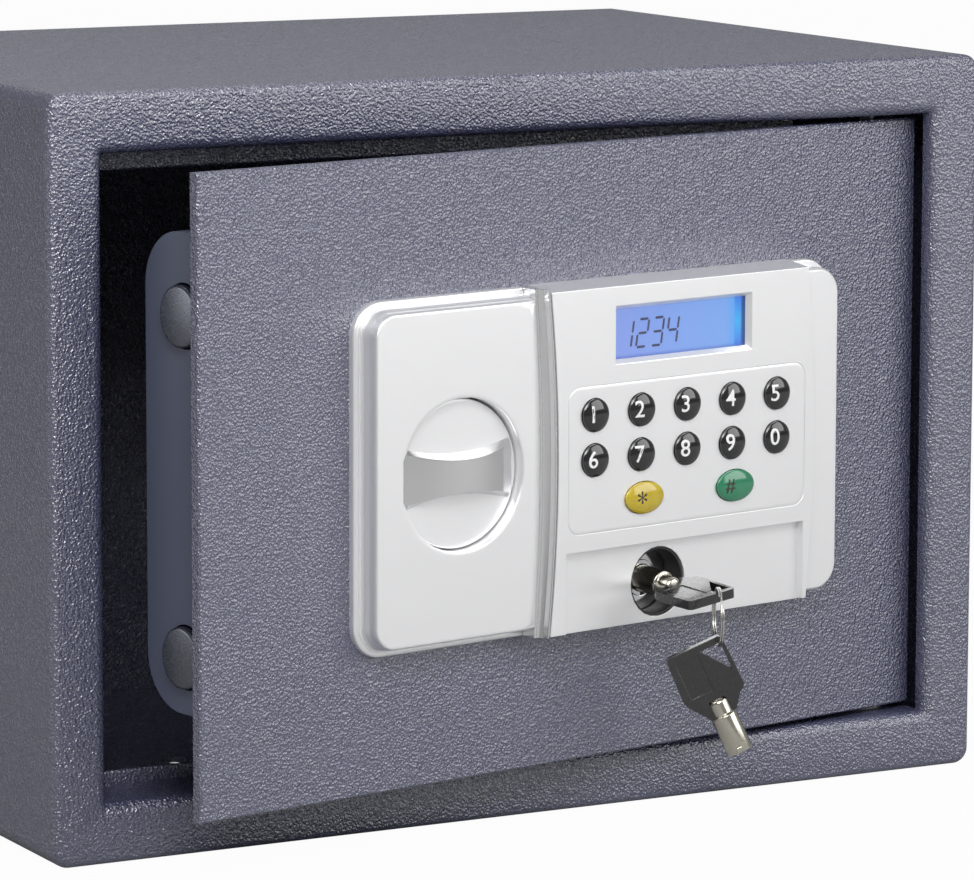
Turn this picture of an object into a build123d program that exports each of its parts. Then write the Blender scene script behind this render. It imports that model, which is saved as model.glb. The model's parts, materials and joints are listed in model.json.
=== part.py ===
"""Small electronic safe: steel cabinet, swinging door, control panel, boltwork, emergency lock and keys.

Millimetres. X runs to the right as one faces the door, Y into the cabinet, Z up. The origin is the centre
of the base. The door and all it carries are drawn closed, then turned ajar about the hinge by REST_OPEN.
"""
import os
from math import cos, pi, radians, sin, sqrt

from build123d import *

os.makedirs("parts", exist_ok=True)

# Cabinet
WIDTH, DEPTH, HEIGHT = 350.0, 250.0, 250.0
SHEET = 2.0                     # body and frame sheet
EDGE_R = 5.5                    # the wrap's four long bends
FRONT_R = 1.6                   # frame's outer edge, broken at 45 degrees
FRAME_SKIRT = 3.2               # how far back the frame's skin meets the wrap
FRONT, REAR = -DEPTH / 2, DEPTH / 2
OPEN_X = 156.0                  # half width of the doorway
OPEN_LOW, OPEN_HIGH = 20.0, 230.0
JAMB_R = 4.0
LATCH_JAMB, HINGE_JAMB, SILL = 10.0, 6.0, 26.0
LIP_LOW, LIP_HIGH = 4.5, 8.0    # stop lips at the back of the sill and of the head
LIP_RIGHT = 116.0               # they stop short of the door's heel
ANCHOR_R = 5.0
ANCHOR_PITCH = 150.0
ANCHOR_REAR_Z = 165.0
REAR_STEP = 0.6                 # the rear panel lies this far inside the wrap's end

# Door and hinge, door closed
PLATE_T = 4.0
PLATE_X = 153.5
PLATE_LOW, PLATE_HIGH = 22.0, 228.0
FACE = FRONT + 8.0              # outer face of the door plate
BACK = FACE + PLATE_T           # inner face
HINGE_X, HINGE_Y = 142.0, FRONT + 21.0
PIN_R, BUSH_R, FLANGE_R = 4.0, 6.0, 7.6
RUNNING = 0.05                  # radial clearance of a shaft in its bearing
REST_OPEN = 11.0                # degrees ajar
HINGE = Axis((HINGE_X, HINGE_Y, 0), (0, 0, 1))

# Mechanism cover, battery compartment and reset button
COVER_T = 1.2
COVER_LEFT, COVER_RIGHT = -148.0, 118.0
COVER_LOW, COVER_HIGH = 54.0, 208.0
COVER_BACK = BACK + 32.0
COVER_R = 18.0
COVER_FLANGE = 9.0
BATTERY = (45.0, 96.0, 109.0, 154.0)
CELL_R, CELL_LENGTH = 7.0, 49.2
RESET_X, RESET_Z = 22.0, 150.0

# Boltwork behind the plate
BOLT_R, BOLT_Y = 10.0, BACK + 11.0
BOLT_ZS = (72.5, 181.5)
BOLT_TIP, BOLT_INNER = -150.6, -104.6
SPIGOT_R = 4.0
LUG_Y = BACK + 19.0             # carrier's flat arm
ARM_T = 3.0
CAM_PIN_R, CAM_THROW = 3.0, 9.9
SOLENOID_X, PLUNGER_TIP = -83.2, 109.5

# Control panel: heights stand in front of the closed door plate
PANEL_LEFT, PANEL_RIGHT = -94.4, 111.2
PANEL_LOW, PANEL_HIGH = 67.2, 182.8
ESC_H = 10.0                    # the panel's two ends
LEDGE_H, LEDGE_W = 2.5, 2.2     # low ledge round them
DIVIDER_LEFT, DIVIDER_RIGHT = -24.9, -20.9
DIVIDER_BOW, HOUSING_BOW = 2.5, 3.5     # how far the upright edges bow to the right
HOUSING_LOW, HOUSING_HIGH = 66.3, 183.2
FACE_LOW, FACE_HIGH, FACE_RIGHT, FACE_H = 67.8, 181.6, 92.5, 12.4
WALL = 2.2
TRAY_H, TRAY_TOP, TRAY_RIGHT = 9.4, 94.6, 91.0      # lower strip of the housing's face
LCD = (6.8, 155.7, 67.0, 175.1)

# Knob
KNOB_X, KNOB_Z = -55.6, 124.9
WELL_R, KNOB_R = 25.2, 24.5
KNOB_H, GRIP_H = 6.5, 12.2
GRIP_WAIST, GRIP_FLARE, GRIP_DOME = 5.8, 9.4, 49.0
SPINDLE_R = 4.0

# Keypad
PAD = (-13.4, 100.5, 91.4, 149.5)
PAD_T = 1.6
BUTTON_X = [-2.2 + 20.1 * i for i in range(5)]
BUTTON_Z = [139.8, 124.8]
OVAL_X, OVAL_Z = [19.2, 59.5], 110.2
BUTTON_R = 5.6
OVAL_A, OVAL_B = 8.6, 5.5
BUTTON_GAP = 0.25
BUTTON_SIDES, OVAL_SIDES = 12, 16

# Lock, key and split ring
LOCK_X, LOCK_Z = 28.3, 80.5
LOCK_HOLE_R = 11.8
PLUG_R, LOCK_R = 6.0, 9.0
FLANGE_H, PLUG_H, SLEEVE_H = 0.6, 1.0, 8.8      # how far the lock's parts stand before the door plate
STEM_R, STEM_BORE_R, STEM_LENGTH = 4.5, 3.4, 13.7
NECK_R, NECK_LENGTH = 3.35, 5.7         # the stem's narrowed end, set in the bow
STEM_SIDES = 16
BOW_T, BOW_LENGTH = 3.2, 25.0
KEY_LENGTH = STEM_LENGTH + BOW_LENGTH
KEY_IN = 2.3                    # how far the stem reaches behind the plug's face
KEY_TILT, KEY_DROOP = 6.6, 3.3  # play in the lock lets the key turn and sag by these angles
HOLE_X0, HOLE_X1, HOLE_IN, HOLE_DEEP = 1.3, 8.9, 2.2, 9.8
RING_R, WIRE_R = 9.6, 0.36      # split ring's mean radius; its wire makes two turns side by side
RING_SIDES = 24
RING_TURN = 33.0                # how far the ring's plane turns from square to the door
SPARE_LEAN = 24.5               # the angle at which the twin hangs from its corner hole


def box(x0, y0, z0, x1, y1, z1):
    """A box from its two far corners."""
    return Pos((x0 + x1) / 2, (y0 + y1) / 2, (z0 + z1) / 2) * Box(abs(x1 - x0), abs(y1 - y0), abs(z1 - z0))


def rod(start, direction, radius, length, sides=0):
    """A bar from a start point along a direction: round where it runs in a bearing, else with many flats."""
    plane = Plane(origin=start, z_dir=direction)
    if sides:
        return extrude(plane * RegularPolygon(radius, sides), length)
    return Solid.make_cylinder(radius, length, plane)


def rod_y(x, z, radius, y0, y1, sides=0):
    """A bar square to the door, between two depths."""
    return rod((x, min(y0, y1), z), (0, 1, 0), radius, abs(y1 - y0), sides)


def out(height):
    """Depth of a point that stands this high in front of the closed door plate."""
    return FACE - height


def outline_solid(points, y0, y1):
    """A prism between two depths over an (x, z) outline."""
    face = Face(Wire.make_polygon([(x, y0, z) for x, z in points], close=True))
    return Solid.extrude(face, Vector(0, y1 - y0, 0))


def pad(x0, z0, x1, z1, radius, y0, y1):
    """A rounded rectangular plate between two depths, facing the front."""
    plane = Plane(origin=((x0 + x1) / 2, y0, (z0 + z1) / 2), x_dir=(1, 0, 0), z_dir=(0, 1, 0))
    return extrude(plane * RectangleRounded(x1 - x0, z1 - z0, radius), y1 - y0)


def bowed(left, right, y0, y1, left_bow, right_bow):
    """A plate as high as the housing, between two depths, whose upright edges bow to the right."""
    low, high, mid = HOUSING_LOW, HOUSING_HIGH, (HOUSING_LOW + HOUSING_HIGH) / 2
    lines = [
        ThreePointArc((left, y0, low), (left + left_bow, y0, mid), (left, y0, high)),
        Line((left, y0, high), (right, y0, high)),
        ThreePointArc((right, y0, high), (right + right_bow, y0, mid), (right, y0, low)),
        Line((right, y0, low), (left, y0, low)),
    ]
    return Solid.extrude(Face(Wire(lines)), Vector(0, y1 - y0, 0))


def level_band(shape, low, high):
    """The part of a panel piece that lies between two heights above the base."""
    return shape & box(-120, out(30), low, 130, BACK, high)


def ellipse_bar(x, z, a, b, low, high, sides):
    """A many-sided ellipse prism of half axes a and b between two heights on the panel."""
    turns = [2 * pi * k / sides for k in range(sides)]
    return outline_solid([(x + a * cos(t), z + b * sin(t)) for t in turns], out(low), out(high))


def edges_at(shape, axis, value, tolerance=0.02):
    """Edges that lie wholly at one coordinate along an axis name."""
    def flat(edge):
        low, high = edge.bounding_box().min, edge.bounding_box().max
        return all(abs(getattr(corner, axis) - value) < tolerance for corner in (low, high))
    return [e for e in shape.edges() if flat(e)]


parts = {}


def cabinet(name, shape):
    """Keep a piece of the cabinet where it is drawn."""
    parts[name] = shape


def door(name, shape):
    """Keep a piece of the door, turned from its closed place to the ajar one."""
    parts[name] = shape.rotate(HINGE, REST_OPEN)


def build_frame():
    """Front frame: a face, its skirt back to the wrap, the doorway's turned-in edges and the stop lips."""
    half, t = WIDTH / 2, SHEET
    x, low, high = OPEN_X, OPEN_LOW, OPEN_HIGH
    face = Pos(0, FRONT + FRAME_SKIRT / 2, HEIGHT / 2) * Box(WIDTH, FRAME_SKIRT, HEIGHT)
    face = fillet(face.edges().filter_by(Axis.Y), EDGE_R)
    face = chamfer(edges_at(face, "Y", FRONT), FRONT_R)
    face -= pad(t - half, t, half - t, HEIGHT - t, EDGE_R - t, FRONT + t, FRONT + 20)
    face += box(-x - t, FRONT, low - t, -x, FRONT + LATCH_JAMB, high + t)
    face += box(x, FRONT, low - t, x + t, FRONT + HINGE_JAMB, high + t)
    face += box(-x - t, FRONT, low - t, x + t, FRONT + SILL, low)
    face += box(-x - t, FRONT, high, x + t, FRONT + SILL, high + t)
    face += box(4 - x, FRONT + SILL, low - t, LIP_RIGHT, FRONT + SILL + t, low + LIP_LOW)
    face += box(4 - x, FRONT + SILL, high - LIP_HIGH, LIP_RIGHT, FRONT + SILL + t, high + t)
    face -= box(-x, FRONT - 1, low, x, FRONT + SILL - 0.001, high)
    doorway = [e for e in edges_at(face, "Y", FRONT)
               if abs(e.center().X) < x + 1 and abs(e.center().Z - HEIGHT / 2) < 106]
    face = fillet(doorway, JAMB_R)
    for z0, z1 in ((low - t - 1, low + 1), (high - 1, high + t + 1)):
        face -= rod((HINGE_X, HINGE_Y, z0), (0, 0, 1), BUSH_R, z1 - z0, 16)
    cabinet("front_frame", face)


def build_cabinet():
    """Wrap of sheet bent round the four long edges, and the panel set in its rear end."""
    half, t = WIDTH / 2, SHEET
    wrap = pad(-half, 0, half, HEIGHT, EDGE_R, FRONT + FRAME_SKIRT, REAR)
    wrap -= pad(t - half, t, half - t, HEIGHT - t, EDGE_R - t, FRONT, REAR + 1)
    for sign in (-1, 1):
        wrap -= rod((sign * ANCHOR_PITCH / 2, 0, -1), (0, 0, 1), ANCHOR_R, t + 2)
    cabinet("body_wrap", wrap)

    rear = pad(t - half, t, half - t, HEIGHT - t, EDGE_R - t, REAR - t - REAR_STEP, REAR - REAR_STEP)
    for sign in (-1, 1):
        rear -= rod_y(sign * ANCHOR_PITCH / 2, ANCHOR_REAR_Z, ANCHOR_R, REAR - 10, REAR + 10)
    cabinet("rear_panel", rear)

    # Bushes: a sleeve through the sheet with a flange on the doorway's side.
    for name, sheet_low, flange_low in (("bottom", OPEN_LOW - t, OPEN_LOW),
                                        ("top", OPEN_HIGH, OPEN_HIGH - 0.9)):
        bush = rod((HINGE_X, HINGE_Y, sheet_low), (0, 0, 1), BUSH_R, t, 16)
        bush += rod((HINGE_X, HINGE_Y, flange_low), (0, 0, 1), FLANGE_R, 0.9, 16)
        bush -= rod((HINGE_X, HINGE_Y, sheet_low - 3), (0, 0, 1), PIN_R + RUNNING, 10)
        cabinet(f"hinge_bush_{name}", bush)


def build_door_steel():
    """Door plate, and the knuckles welded to its back that hold the two pins."""
    plate = box(-PLATE_X, FACE, PLATE_LOW, PLATE_X, BACK, PLATE_HIGH)
    plate = chamfer(edges_at(plate, "Y", FACE), 0.6)
    plate -= rod_y(KNOB_X, KNOB_Z, SPINDLE_R + RUNNING, FACE - 1, BACK + 1)
    plate -= rod_y(LOCK_X, LOCK_Z, LOCK_R + 0.3, FACE - 1, BACK + 1, 24)
    plate -= box(60, FACE - 1, 106, 78, BACK + 1, 114)
    door("door_plate", plate)

    for name, low, high, pin_low, pin_high in (
            ("bottom", PLATE_LOW + 3, PLATE_LOW + 30, OPEN_LOW - 6, PLATE_LOW + 24),
            ("top", PLATE_HIGH - 30, PLATE_HIGH - 3, PLATE_HIGH - 24, OPEN_HIGH + 6)):
        knuckle = rod((HINGE_X, HINGE_Y, low), (0, 0, 1), 7.0, high - low, 24)
        knuckle += box(HINGE_X - 7, BACK, low, HINGE_X + 7, HINGE_Y, high)
        knuckle += box(HINGE_X - 22, BACK, low, HINGE_X - 6, BACK + 3, high)
        pin = rod((HINGE_X, HINGE_Y, pin_low), (0, 0, 1), PIN_R, pin_high - pin_low)
        door(f"hinge_knuckle_{name}", knuckle - pin)
        door(f"hinge_pin_{name}", pin)


def cover_profile(inset):
    """Side outline of the mechanism cover in depth and height, its two back corners rounded."""
    y1, low, high, r = COVER_BACK - inset, COVER_LOW + inset, COVER_HIGH - inset, COVER_R - inset
    k = r * (1 - sqrt(0.5))
    return [
        Line((0, BACK, low), (0, y1 - r, low)),
        ThreePointArc((0, y1 - r, low), (0, y1 - k, low + k), (0, y1, low + r)),
        Line((0, y1, low + r), (0, y1, high - r)),
        ThreePointArc((0, y1, high - r), (0, y1 - k, high - k), (0, y1 - r, high)),
        Line((0, y1 - r, high), (0, BACK, high)),
        Line((0, BACK, high), (0, BACK, low)),
    ]


def cover_bar(inset, x0, x1):
    """A solid bar of the cover's outline between two places along X."""
    return Solid.extrude(Face(Wire(cover_profile(inset))), Vector(x1 - x0, 0, 0)).moved(Location((x0, 0, 0)))


def build_cover():
    """Sheet cover over the boltwork, flanged top and bottom."""
    cover = cover_bar(0, COVER_LEFT, COVER_RIGHT)
    cover -= cover_bar(COVER_T, COVER_LEFT + COVER_T, COVER_RIGHT - COVER_T)
    for z0, z1 in ((COVER_LOW - COVER_FLANGE, COVER_LOW + COVER_T),
                   (COVER_HIGH - COVER_T, COVER_HIGH + COVER_FLANGE)):
        cover += box(COVER_LEFT + 8, BACK, z0, COVER_RIGHT - 8, BACK + COVER_T, z1)
    for z in BOLT_ZS:
        cover -= rod((COVER_LEFT - 1, BOLT_Y, z), (1, 0, 0), BOLT_R + 0.5, 4, 32)
    x0, z0, x1, z1 = BATTERY
    cover -= box(x0 + 1, COVER_BACK - 3, z0 + 1, x1 - 1, COVER_BACK + 1, z1 - 1)
    cover -= rod_y(RESET_X, RESET_Z, 3.3, COVER_BACK - 3, COVER_BACK + 1, 16)
    door("mechanism_cover", cover)


def build_battery():
    """Battery box behind the cover, its four cells, its lid with a finger catch, and the reset button."""
    x0, z0, x1, z1 = BATTERY
    mid_x, mid_z = (x0 + x1) / 2, (z0 + z1) / 2
    lid = pad(x0 - 2, z0 - 1, x1 + 2, z1 + 1, 3, COVER_BACK, COVER_BACK + 1.8)
    lid -= box(mid_x - 7, COVER_BACK + 0.9, z1 - 5.5, mid_x + 7, COVER_BACK + 3, z1 - 2.5)
    for k in range(4):
        lid -= box(mid_x - 12, COVER_BACK + 1.2, z0 + 6 + 3 * k, mid_x + 12, COVER_BACK + 3, z0 + 7.2 + 3 * k)
    door("battery_cover", lid)

    tray = box(x0 - 0.5, COVER_BACK - 20, z0 - 0.5, x1 + 0.5, COVER_BACK - COVER_T, z1 + 0.5)
    tray -= box(x0 + 1.3, COVER_BACK - 18.4, z0 + 1.3, x1 - 1.3, COVER_BACK, z1 - 1.3)
    pitch = (x1 - x0 - 3.6) / 4
    for k in range(1, 4):
        x = x0 + 1.8 + k * pitch
        tray += box(x - 0.3, COVER_BACK - 18.4, z0 + 1.3, x + 0.3, COVER_BACK - 12, z1 - 1.3)
    door("battery_box", tray)
    for k in range(4):
        x, y = x0 + 1.8 + (k + 0.5) * pitch, COVER_BACK - 11.0
        cell = rod((x, y, mid_z - CELL_LENGTH / 2), (0, 0, 1), CELL_R, CELL_LENGTH, 16)
        tip = CELL_LENGTH / 2 if k % 2 else -CELL_LENGTH / 2 - 1.4
        door(f"battery_cell_{k + 1}", cell + rod((x, y, mid_z + tip), (0, 0, 1), 2.7, 1.4, 8))

    button = rod_y(RESET_X, RESET_Z, 3.0, COVER_BACK - 8, COVER_BACK + 2.0, 16)
    button += rod_y(RESET_X, RESET_Z, 4.6, COVER_BACK - 3.2, COVER_BACK - 1.6, 16)
    door("reset_button", button)


def build_bolts():
    """Guides on the plate and the two round bolts that run in them."""
    for name, z in zip(("lower", "upper"), BOLT_ZS):
        guide = box(-140, BACK, z - 14, -124, BOLT_Y + 13, z + 14)
        guide = chamfer([e for e in guide.edges().filter_by(Axis.X) if e.center().Y > BOLT_Y], 5)
        guide -= rod((-141, BOLT_Y, z), (1, 0, 0), BOLT_R + RUNNING, 20)
        door(f"bolt_guide_{name}", guide)

        bolt = rod((BOLT_TIP, BOLT_Y, z), (1, 0, 0), BOLT_R, BOLT_INNER - BOLT_TIP, 40)
        bolt = chamfer(edges_at(bolt, "X", BOLT_TIP), 0.9)
        bolt += rod((BOLT_INNER, BOLT_Y, z), (1, 0, 0), SPIGOT_R, 7, 12)
        door(f"bolt_{name}", bolt)


def build_carrier():
    """Bar that joins the bolts, and its arm with the cam slot and the tooth that the solenoid blocks."""
    bar_low, bar_high = BOLT_ZS[0] - 13, BOLT_ZS[1] + 13
    carrier = box(BOLT_INNER, BACK + 1.2, bar_low, BOLT_INNER + ARM_T, LUG_Y + ARM_T, bar_high)
    for z in BOLT_ZS:
        carrier -= rod((BOLT_INNER - 1, BOLT_Y, z), (1, 0, 0), SPIGOT_R, 6, 12)
    tooth = [(-77.5, 118), (-77.5, 110), (-73.5, 110), (-73.5, 118)]
    outline = [(BOLT_INNER, 118), *tooth, (-41, 118), (-41, 143), (-63, 143), (-63, 134), (BOLT_INNER, 134)]
    arm = outline_solid(outline, LUG_Y, LUG_Y + ARM_T)
    pin_x = KNOB_X + CAM_THROW * sin(radians(45))
    slot = CAM_PIN_R + 0.45
    arm -= box(pin_x - slot, LUG_Y - 1, KNOB_Z + 3.4, pin_x + slot, LUG_Y + 4, KNOB_Z + 14.5)
    arm -= box(-97, LUG_Y - 1, 122.5, -70, LUG_Y + 4, 129.5)
    door("bolt_carrier", carrier + arm)


def build_spindle():
    """Knob spindle with its hub, cam disc and the pin that works the carrier's slot."""
    cam_y = LUG_Y - 6
    pin_x = KNOB_X + CAM_THROW * sin(radians(45))
    pin_z = KNOB_Z + CAM_THROW * cos(radians(45))
    spindle = rod_y(KNOB_X, KNOB_Z, SPINDLE_R, out(3.0), cam_y + 1)
    spindle += rod_y(KNOB_X, KNOB_Z, 7.0, BACK + 1, cam_y, 16)
    spindle += rod_y(KNOB_X, KNOB_Z, 15.0, cam_y, cam_y + 3, 24)
    spindle += rod_y(pin_x, pin_z, CAM_PIN_R, cam_y + 1, LUG_Y + 4, 12)
    door("knob_spindle", spindle)


def build_solenoid():
    """Solenoid under the carrier's arm: bent yoke, coil, and the plunger that rises beside the tooth."""
    x, y, tip = SOLENOID_X, LUG_Y + 1.5, PLUNGER_TIP
    coil = box(x - 9, y - 9, 74, x + 9, y + 9, 102)
    coil -= box(x - 9.1, y - 6.5, 77, x + 9.1, y + 9.1, 99)
    coil += rod((x, y, 77), (0, 0, 1), 7.8, 22, 24)
    coil += box(x - 9, BACK, 76, x + 9, y - 8, 100)
    coil -= rod((x, y, 70), (0, 0, 1), 3.06, 40, 16)
    door("solenoid", coil)
    plunger = rod((x, y, tip - 30), (0, 0, 1), 3.0, 30, 16)
    plunger += rod((x, y, tip - 6.6), (0, 0, 1), 4.6, 1.6, 16)
    door("solenoid_plunger", plunger)


def end_block(x0, x1, inset, radius, height, cut):
    """A rounded slab of one end of the panel, from x0 to x1, its front rim broken at 45 degrees."""
    slab = pad(x0, PANEL_LOW + inset, x1, PANEL_HIGH - inset, radius, out(height), FACE)
    return chamfer(edges_at(slab, "Y", out(height)), cut)


def build_escutcheon():
    """Knob side of the panel: a ledge, a block that rises from it, and the knob's round well."""
    body = end_block(PANEL_LEFT, 0, 0, 11, LEDGE_H, 0.5)
    body += end_block(PANEL_LEFT + LEDGE_W, 0, LEDGE_W, 9.4, ESC_H, 0.9)
    body &= bowed(-120, DIVIDER_LEFT, out(ESC_H), FACE, 5, DIVIDER_BOW)
    body -= rod_y(KNOB_X, KNOB_Z, WELL_R, out(1.2), out(ESC_H + 1), 40)
    body -= rod_y(KNOB_X, KNOB_Z, SPINDLE_R + RUNNING, FACE + 1, out(3))
    door("knob_escutcheon", body)


def build_divider():
    """Bright strip between the panel's two halves, its face hollowed by a groove that follows the bow."""
    bows = (DIVIDER_BOW, HOUSING_BOW)
    strip = bowed(DIVIDER_LEFT + 0.15, DIVIDER_RIGHT - 0.15, out(ESC_H - 0.3), FACE, *bows)
    groove = bowed(DIVIDER_LEFT + 0.9, DIVIDER_RIGHT - 0.9, out(ESC_H - 1.5), out(ESC_H), *bows)
    uprights = [e for e in edges_at(groove, "Y", out(ESC_H - 1.5)) if e.bounding_box().size.Z > 20]
    groove = chamfer(uprights, 0.4)
    door("divider_strip", level_band(strip - groove, PANEL_LOW + 0.3, PANEL_HIGH - 0.3))


def build_knob():
    """Knob: a disc sunk in the well, with an hourglass grip whose face is rounded towards both ends."""
    disc = rod_y(KNOB_X, KNOB_Z, KNOB_R, out(1.5), out(KNOB_H), 40)
    disc = chamfer(edges_at(disc, "Y", out(KNOB_H)), 0.5)
    reach, foot = KNOB_R - 0.1, out(3)
    lines = [
        ThreePointArc((KNOB_X - reach, foot, KNOB_Z + GRIP_FLARE), (KNOB_X, foot, KNOB_Z + GRIP_WAIST),
                      (KNOB_X + reach, foot, KNOB_Z + GRIP_FLARE)),
        Line((KNOB_X + reach, foot, KNOB_Z + GRIP_FLARE), (KNOB_X + reach, foot, KNOB_Z - GRIP_FLARE)),
        ThreePointArc((KNOB_X + reach, foot, KNOB_Z - GRIP_FLARE), (KNOB_X, foot, KNOB_Z - GRIP_WAIST),
                      (KNOB_X - reach, foot, KNOB_Z - GRIP_FLARE)),
        Line((KNOB_X - reach, foot, KNOB_Z - GRIP_FLARE), (KNOB_X - reach, foot, KNOB_Z + GRIP_FLARE)),
    ]
    grip = Solid.extrude(Face(Wire(lines)), Vector(0, out(GRIP_H + 2) - foot, 0))
    dome = rod((KNOB_X, out(GRIP_H - GRIP_DOME), KNOB_Z - 20), (0, 0, 1), GRIP_DOME, 40)
    barrel = rod_y(KNOB_X, KNOB_Z, KNOB_R - 0.7, foot, out(GRIP_H + 3), 40)
    knob = disc + (grip & dome & barrel)
    knob -= rod_y(KNOB_X, KNOB_Z, SPINDLE_R, out(1.4), out(3.0))
    door("turn_knob", knob)


def build_housing():
    """Raised keypad housing over the panel's right end: window, keypad recess, lower strip, hollow behind."""
    left = DIVIDER_RIGHT
    # Side outline with drafted top and bottom walls, carried along the housing and trimmed to bowed edges.
    side = [(FACE, HOUSING_LOW), (out(LEDGE_H), HOUSING_LOW), (out(FACE_H), FACE_LOW),
            (out(FACE_H), FACE_HIGH), (out(LEDGE_H), HOUSING_HIGH), (FACE, HOUSING_HIGH)]
    wedge = Solid.extrude(Face(Wire.make_polygon([(-40, y, z) for y, z in side])), Vector(180, 0, 0))
    body = wedge & bowed(left, FACE_RIGHT, out(FACE_H), FACE, HOUSING_BOW, HOUSING_BOW)
    body += end_block(60, PANEL_RIGHT, 0, 11, LEDGE_H, 0.5)
    body += end_block(60, PANEL_RIGHT - LEDGE_W, LEDGE_W, 9.4, ESC_H, 0.9)
    # Hollow inside, with the lower strip's floor and a collar round the lock left in.
    low, high = PANEL_LOW + 4.6, PANEL_HIGH - 4.6
    inner = box(left + 7, out(ESC_H - WALL), low, PANEL_RIGHT - 9, FACE, high)
    inner += box(left + 7, out(FACE_H - WALL), TRAY_TOP + 2, FACE_RIGHT - 2, FACE, high)
    inner -= box(left, out(TRAY_H), low - 1, FACE_RIGHT + 3, out(TRAY_H - 2), TRAY_TOP + 2)
    inner -= rod_y(LOCK_X, LOCK_Z, LOCK_HOLE_R + 1.6, FACE, out(TRAY_H), 24)
    body -= inner
    body -= box(-14.0, out(TRAY_H), HOUSING_LOW - 4, TRAY_RIGHT, out(FACE_H + 3), TRAY_TOP)
    body -= rod_y(LOCK_X, LOCK_Z, LOCK_HOLE_R, FACE, out(FACE_H), 24)
    # Display window: its four bevels run through the face's wall.
    x0, z0, x1, z1 = LCD
    corners = ((x0, z0), (x1, z0), (x1, z1), (x0, z1))
    inside = ((x0 + 1.5, z0 + 1.5), (x1 - 1.5, z0 + 1.5), (x1 - 1.5, z1 - 1.5), (x0 + 1.5, z1 - 1.5))
    body -= Solid.make_loft([Wire.make_polygon([(x, out(FACE_H + 0.01), z) for x, z in corners]),
                             Wire.make_polygon([(x, out(FACE_H - WALL - 0.1), z) for x, z in inside])], True)
    # Keypad recess with a through opening behind it.
    x0, z0, x1, z1 = PAD
    body -= pad(x0, z0, x1, z1, 5.0, out(FACE_H - PAD_T), out(FACE_H + 1))
    body -= box(x0 + 2, out(FACE_H - 5), z0 + 2, x1 - 2, out(FACE_H), z1 - 2)
    door("keypad_housing", body)


def build_display():
    """Window pane and the display module behind it."""
    x0, z0, x1, z1 = LCD
    back = FACE_H - WALL
    door("display_window", box(x0, out(back - 1.0), z0, x1, out(back - 0.05), z1))
    door("display_module", box(x0, out(4.7), z0, x1, out(back - 1.05), z1))


def build_keypad():
    """Keypad plate with its holes, the buttons with their square flanges behind it, the mat and the board."""
    x0, z0, x1, z1 = PAD
    plate = pad(x0 + 0.22, z0 + 0.22, x1 - 0.22, z1 - 0.22, 4.8, out(FACE_H), out(FACE_H - PAD_T))
    top = FACE_H + 2.3
    names = ("1", "2", "3", "4", "5", "6", "7", "8", "9", "0")
    places = [(x, z) for z in BUTTON_Z for x in BUTTON_X]
    buttons = [(name, x, z, BUTTON_R, BUTTON_R, BUTTON_SIDES) for name, (x, z) in zip(names, places)]
    buttons += [(name, x, OVAL_Z, OVAL_A, OVAL_B, OVAL_SIDES) for name, x in zip(("star", "hash"), OVAL_X)]
    for name, x, z, a, b, sides in buttons:
        plate -= ellipse_bar(x, z, a + BUTTON_GAP, b + BUTTON_GAP, FACE_H - 3, FACE_H + 1, sides)
        button = ellipse_bar(x, z, a, b, 8.2, top, sides)
        button = chamfer(edges_at(button, "Y", out(top)), 1.3)
        button += box(x - a - 0.8, out(9.4), z - b - 0.8, x + a + 0.8, out(10.6), z + b + 0.8)
        door(f"button_{name}", button)
    door("keypad_plate", plate)
    door("key_mat", box(x0 + 3, out(6.4), z0 + 3, x1 - 3, out(4.7), z1 - 3))
    door("circuit_board", box(0, out(4.6), 98, 88, out(3.0), 178))


def key_pieces():
    """A tubular key in its own frame: axis along +Y, stem tip at 0, bow end at KEY_LENGTH, X the bow's width.

    The split ring goes through the three-cornered hole at the bow's +X far corner.
    """
    foot, end = STEM_LENGTH, KEY_LENGTH
    stem = rod((0, 0, 0), (0, 1, 0), STEM_R, foot, STEM_SIDES)
    stem -= rod((0, -1, 0), (0, 1, 0), STEM_BORE_R, 9.0, STEM_SIDES)
    stem += box(-0.8, 0.5, 4.0, 0.8, 2.3, 5.3)
    neck = rod((0, foot, 0), (0, 1, 0), NECK_R, NECK_LENGTH, STEM_SIDES)
    outline = [(-10.0, end), (10.0, end), (10.6, foot + 6.0), (8.2, foot + 4.6), (6.6, foot + 2.6),
               (4.8, foot), (-4.5, foot), (-10.6, foot + 8.3)]
    face = Face(Wire.make_polygon([(x, y, -BOW_T / 2) for x, y in outline]))
    bow = Solid.extrude(face, Vector(0, 0, BOW_T))
    bow = chamfer([e for e in bow.edges().filter_by(Axis.Z) if abs(e.center().X) > 9], 1.0)
    top = end - HOLE_IN
    hole = [(HOLE_X0, top), (HOLE_X1, top), (HOLE_X1, top - HOLE_DEEP)]
    bow -= Solid.extrude(Face(Wire.make_polygon([(x, y, -BOW_T) for x, y in hole])), Vector(0, 0, 2 * BOW_T))
    # A shallow panel for a label on each side of the bow.
    for z in (BOW_T / 2 - 0.3, -BOW_T / 2):
        bow -= box(-7.8, foot + 9.0, z, 0.4, end - 3.0, z + 0.3)
    return stem + neck, bow - neck


def along_axis(origin, width, axis):
    """A place whose Y runs along an axis and whose X lies as near as it can to a wished direction."""
    axis = axis.normalized()
    width = (width - axis * width.dot(axis)).normalized()
    return Plane(origin=origin, x_dir=width, z_dir=width.cross(axis))


def key_place():
    """Where the key stands: its axis sags from the lock's mouth and its bow is turned a little."""
    tilt, droop = radians(KEY_TILT), radians(KEY_DROOP)
    axis = Vector(0, -cos(droop), -sin(droop))
    tip = Vector(LOCK_X, out(PLUG_H), LOCK_Z) - axis * KEY_IN
    return along_axis(tip, Vector(cos(tilt), 0, sin(tilt)), axis)


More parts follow.
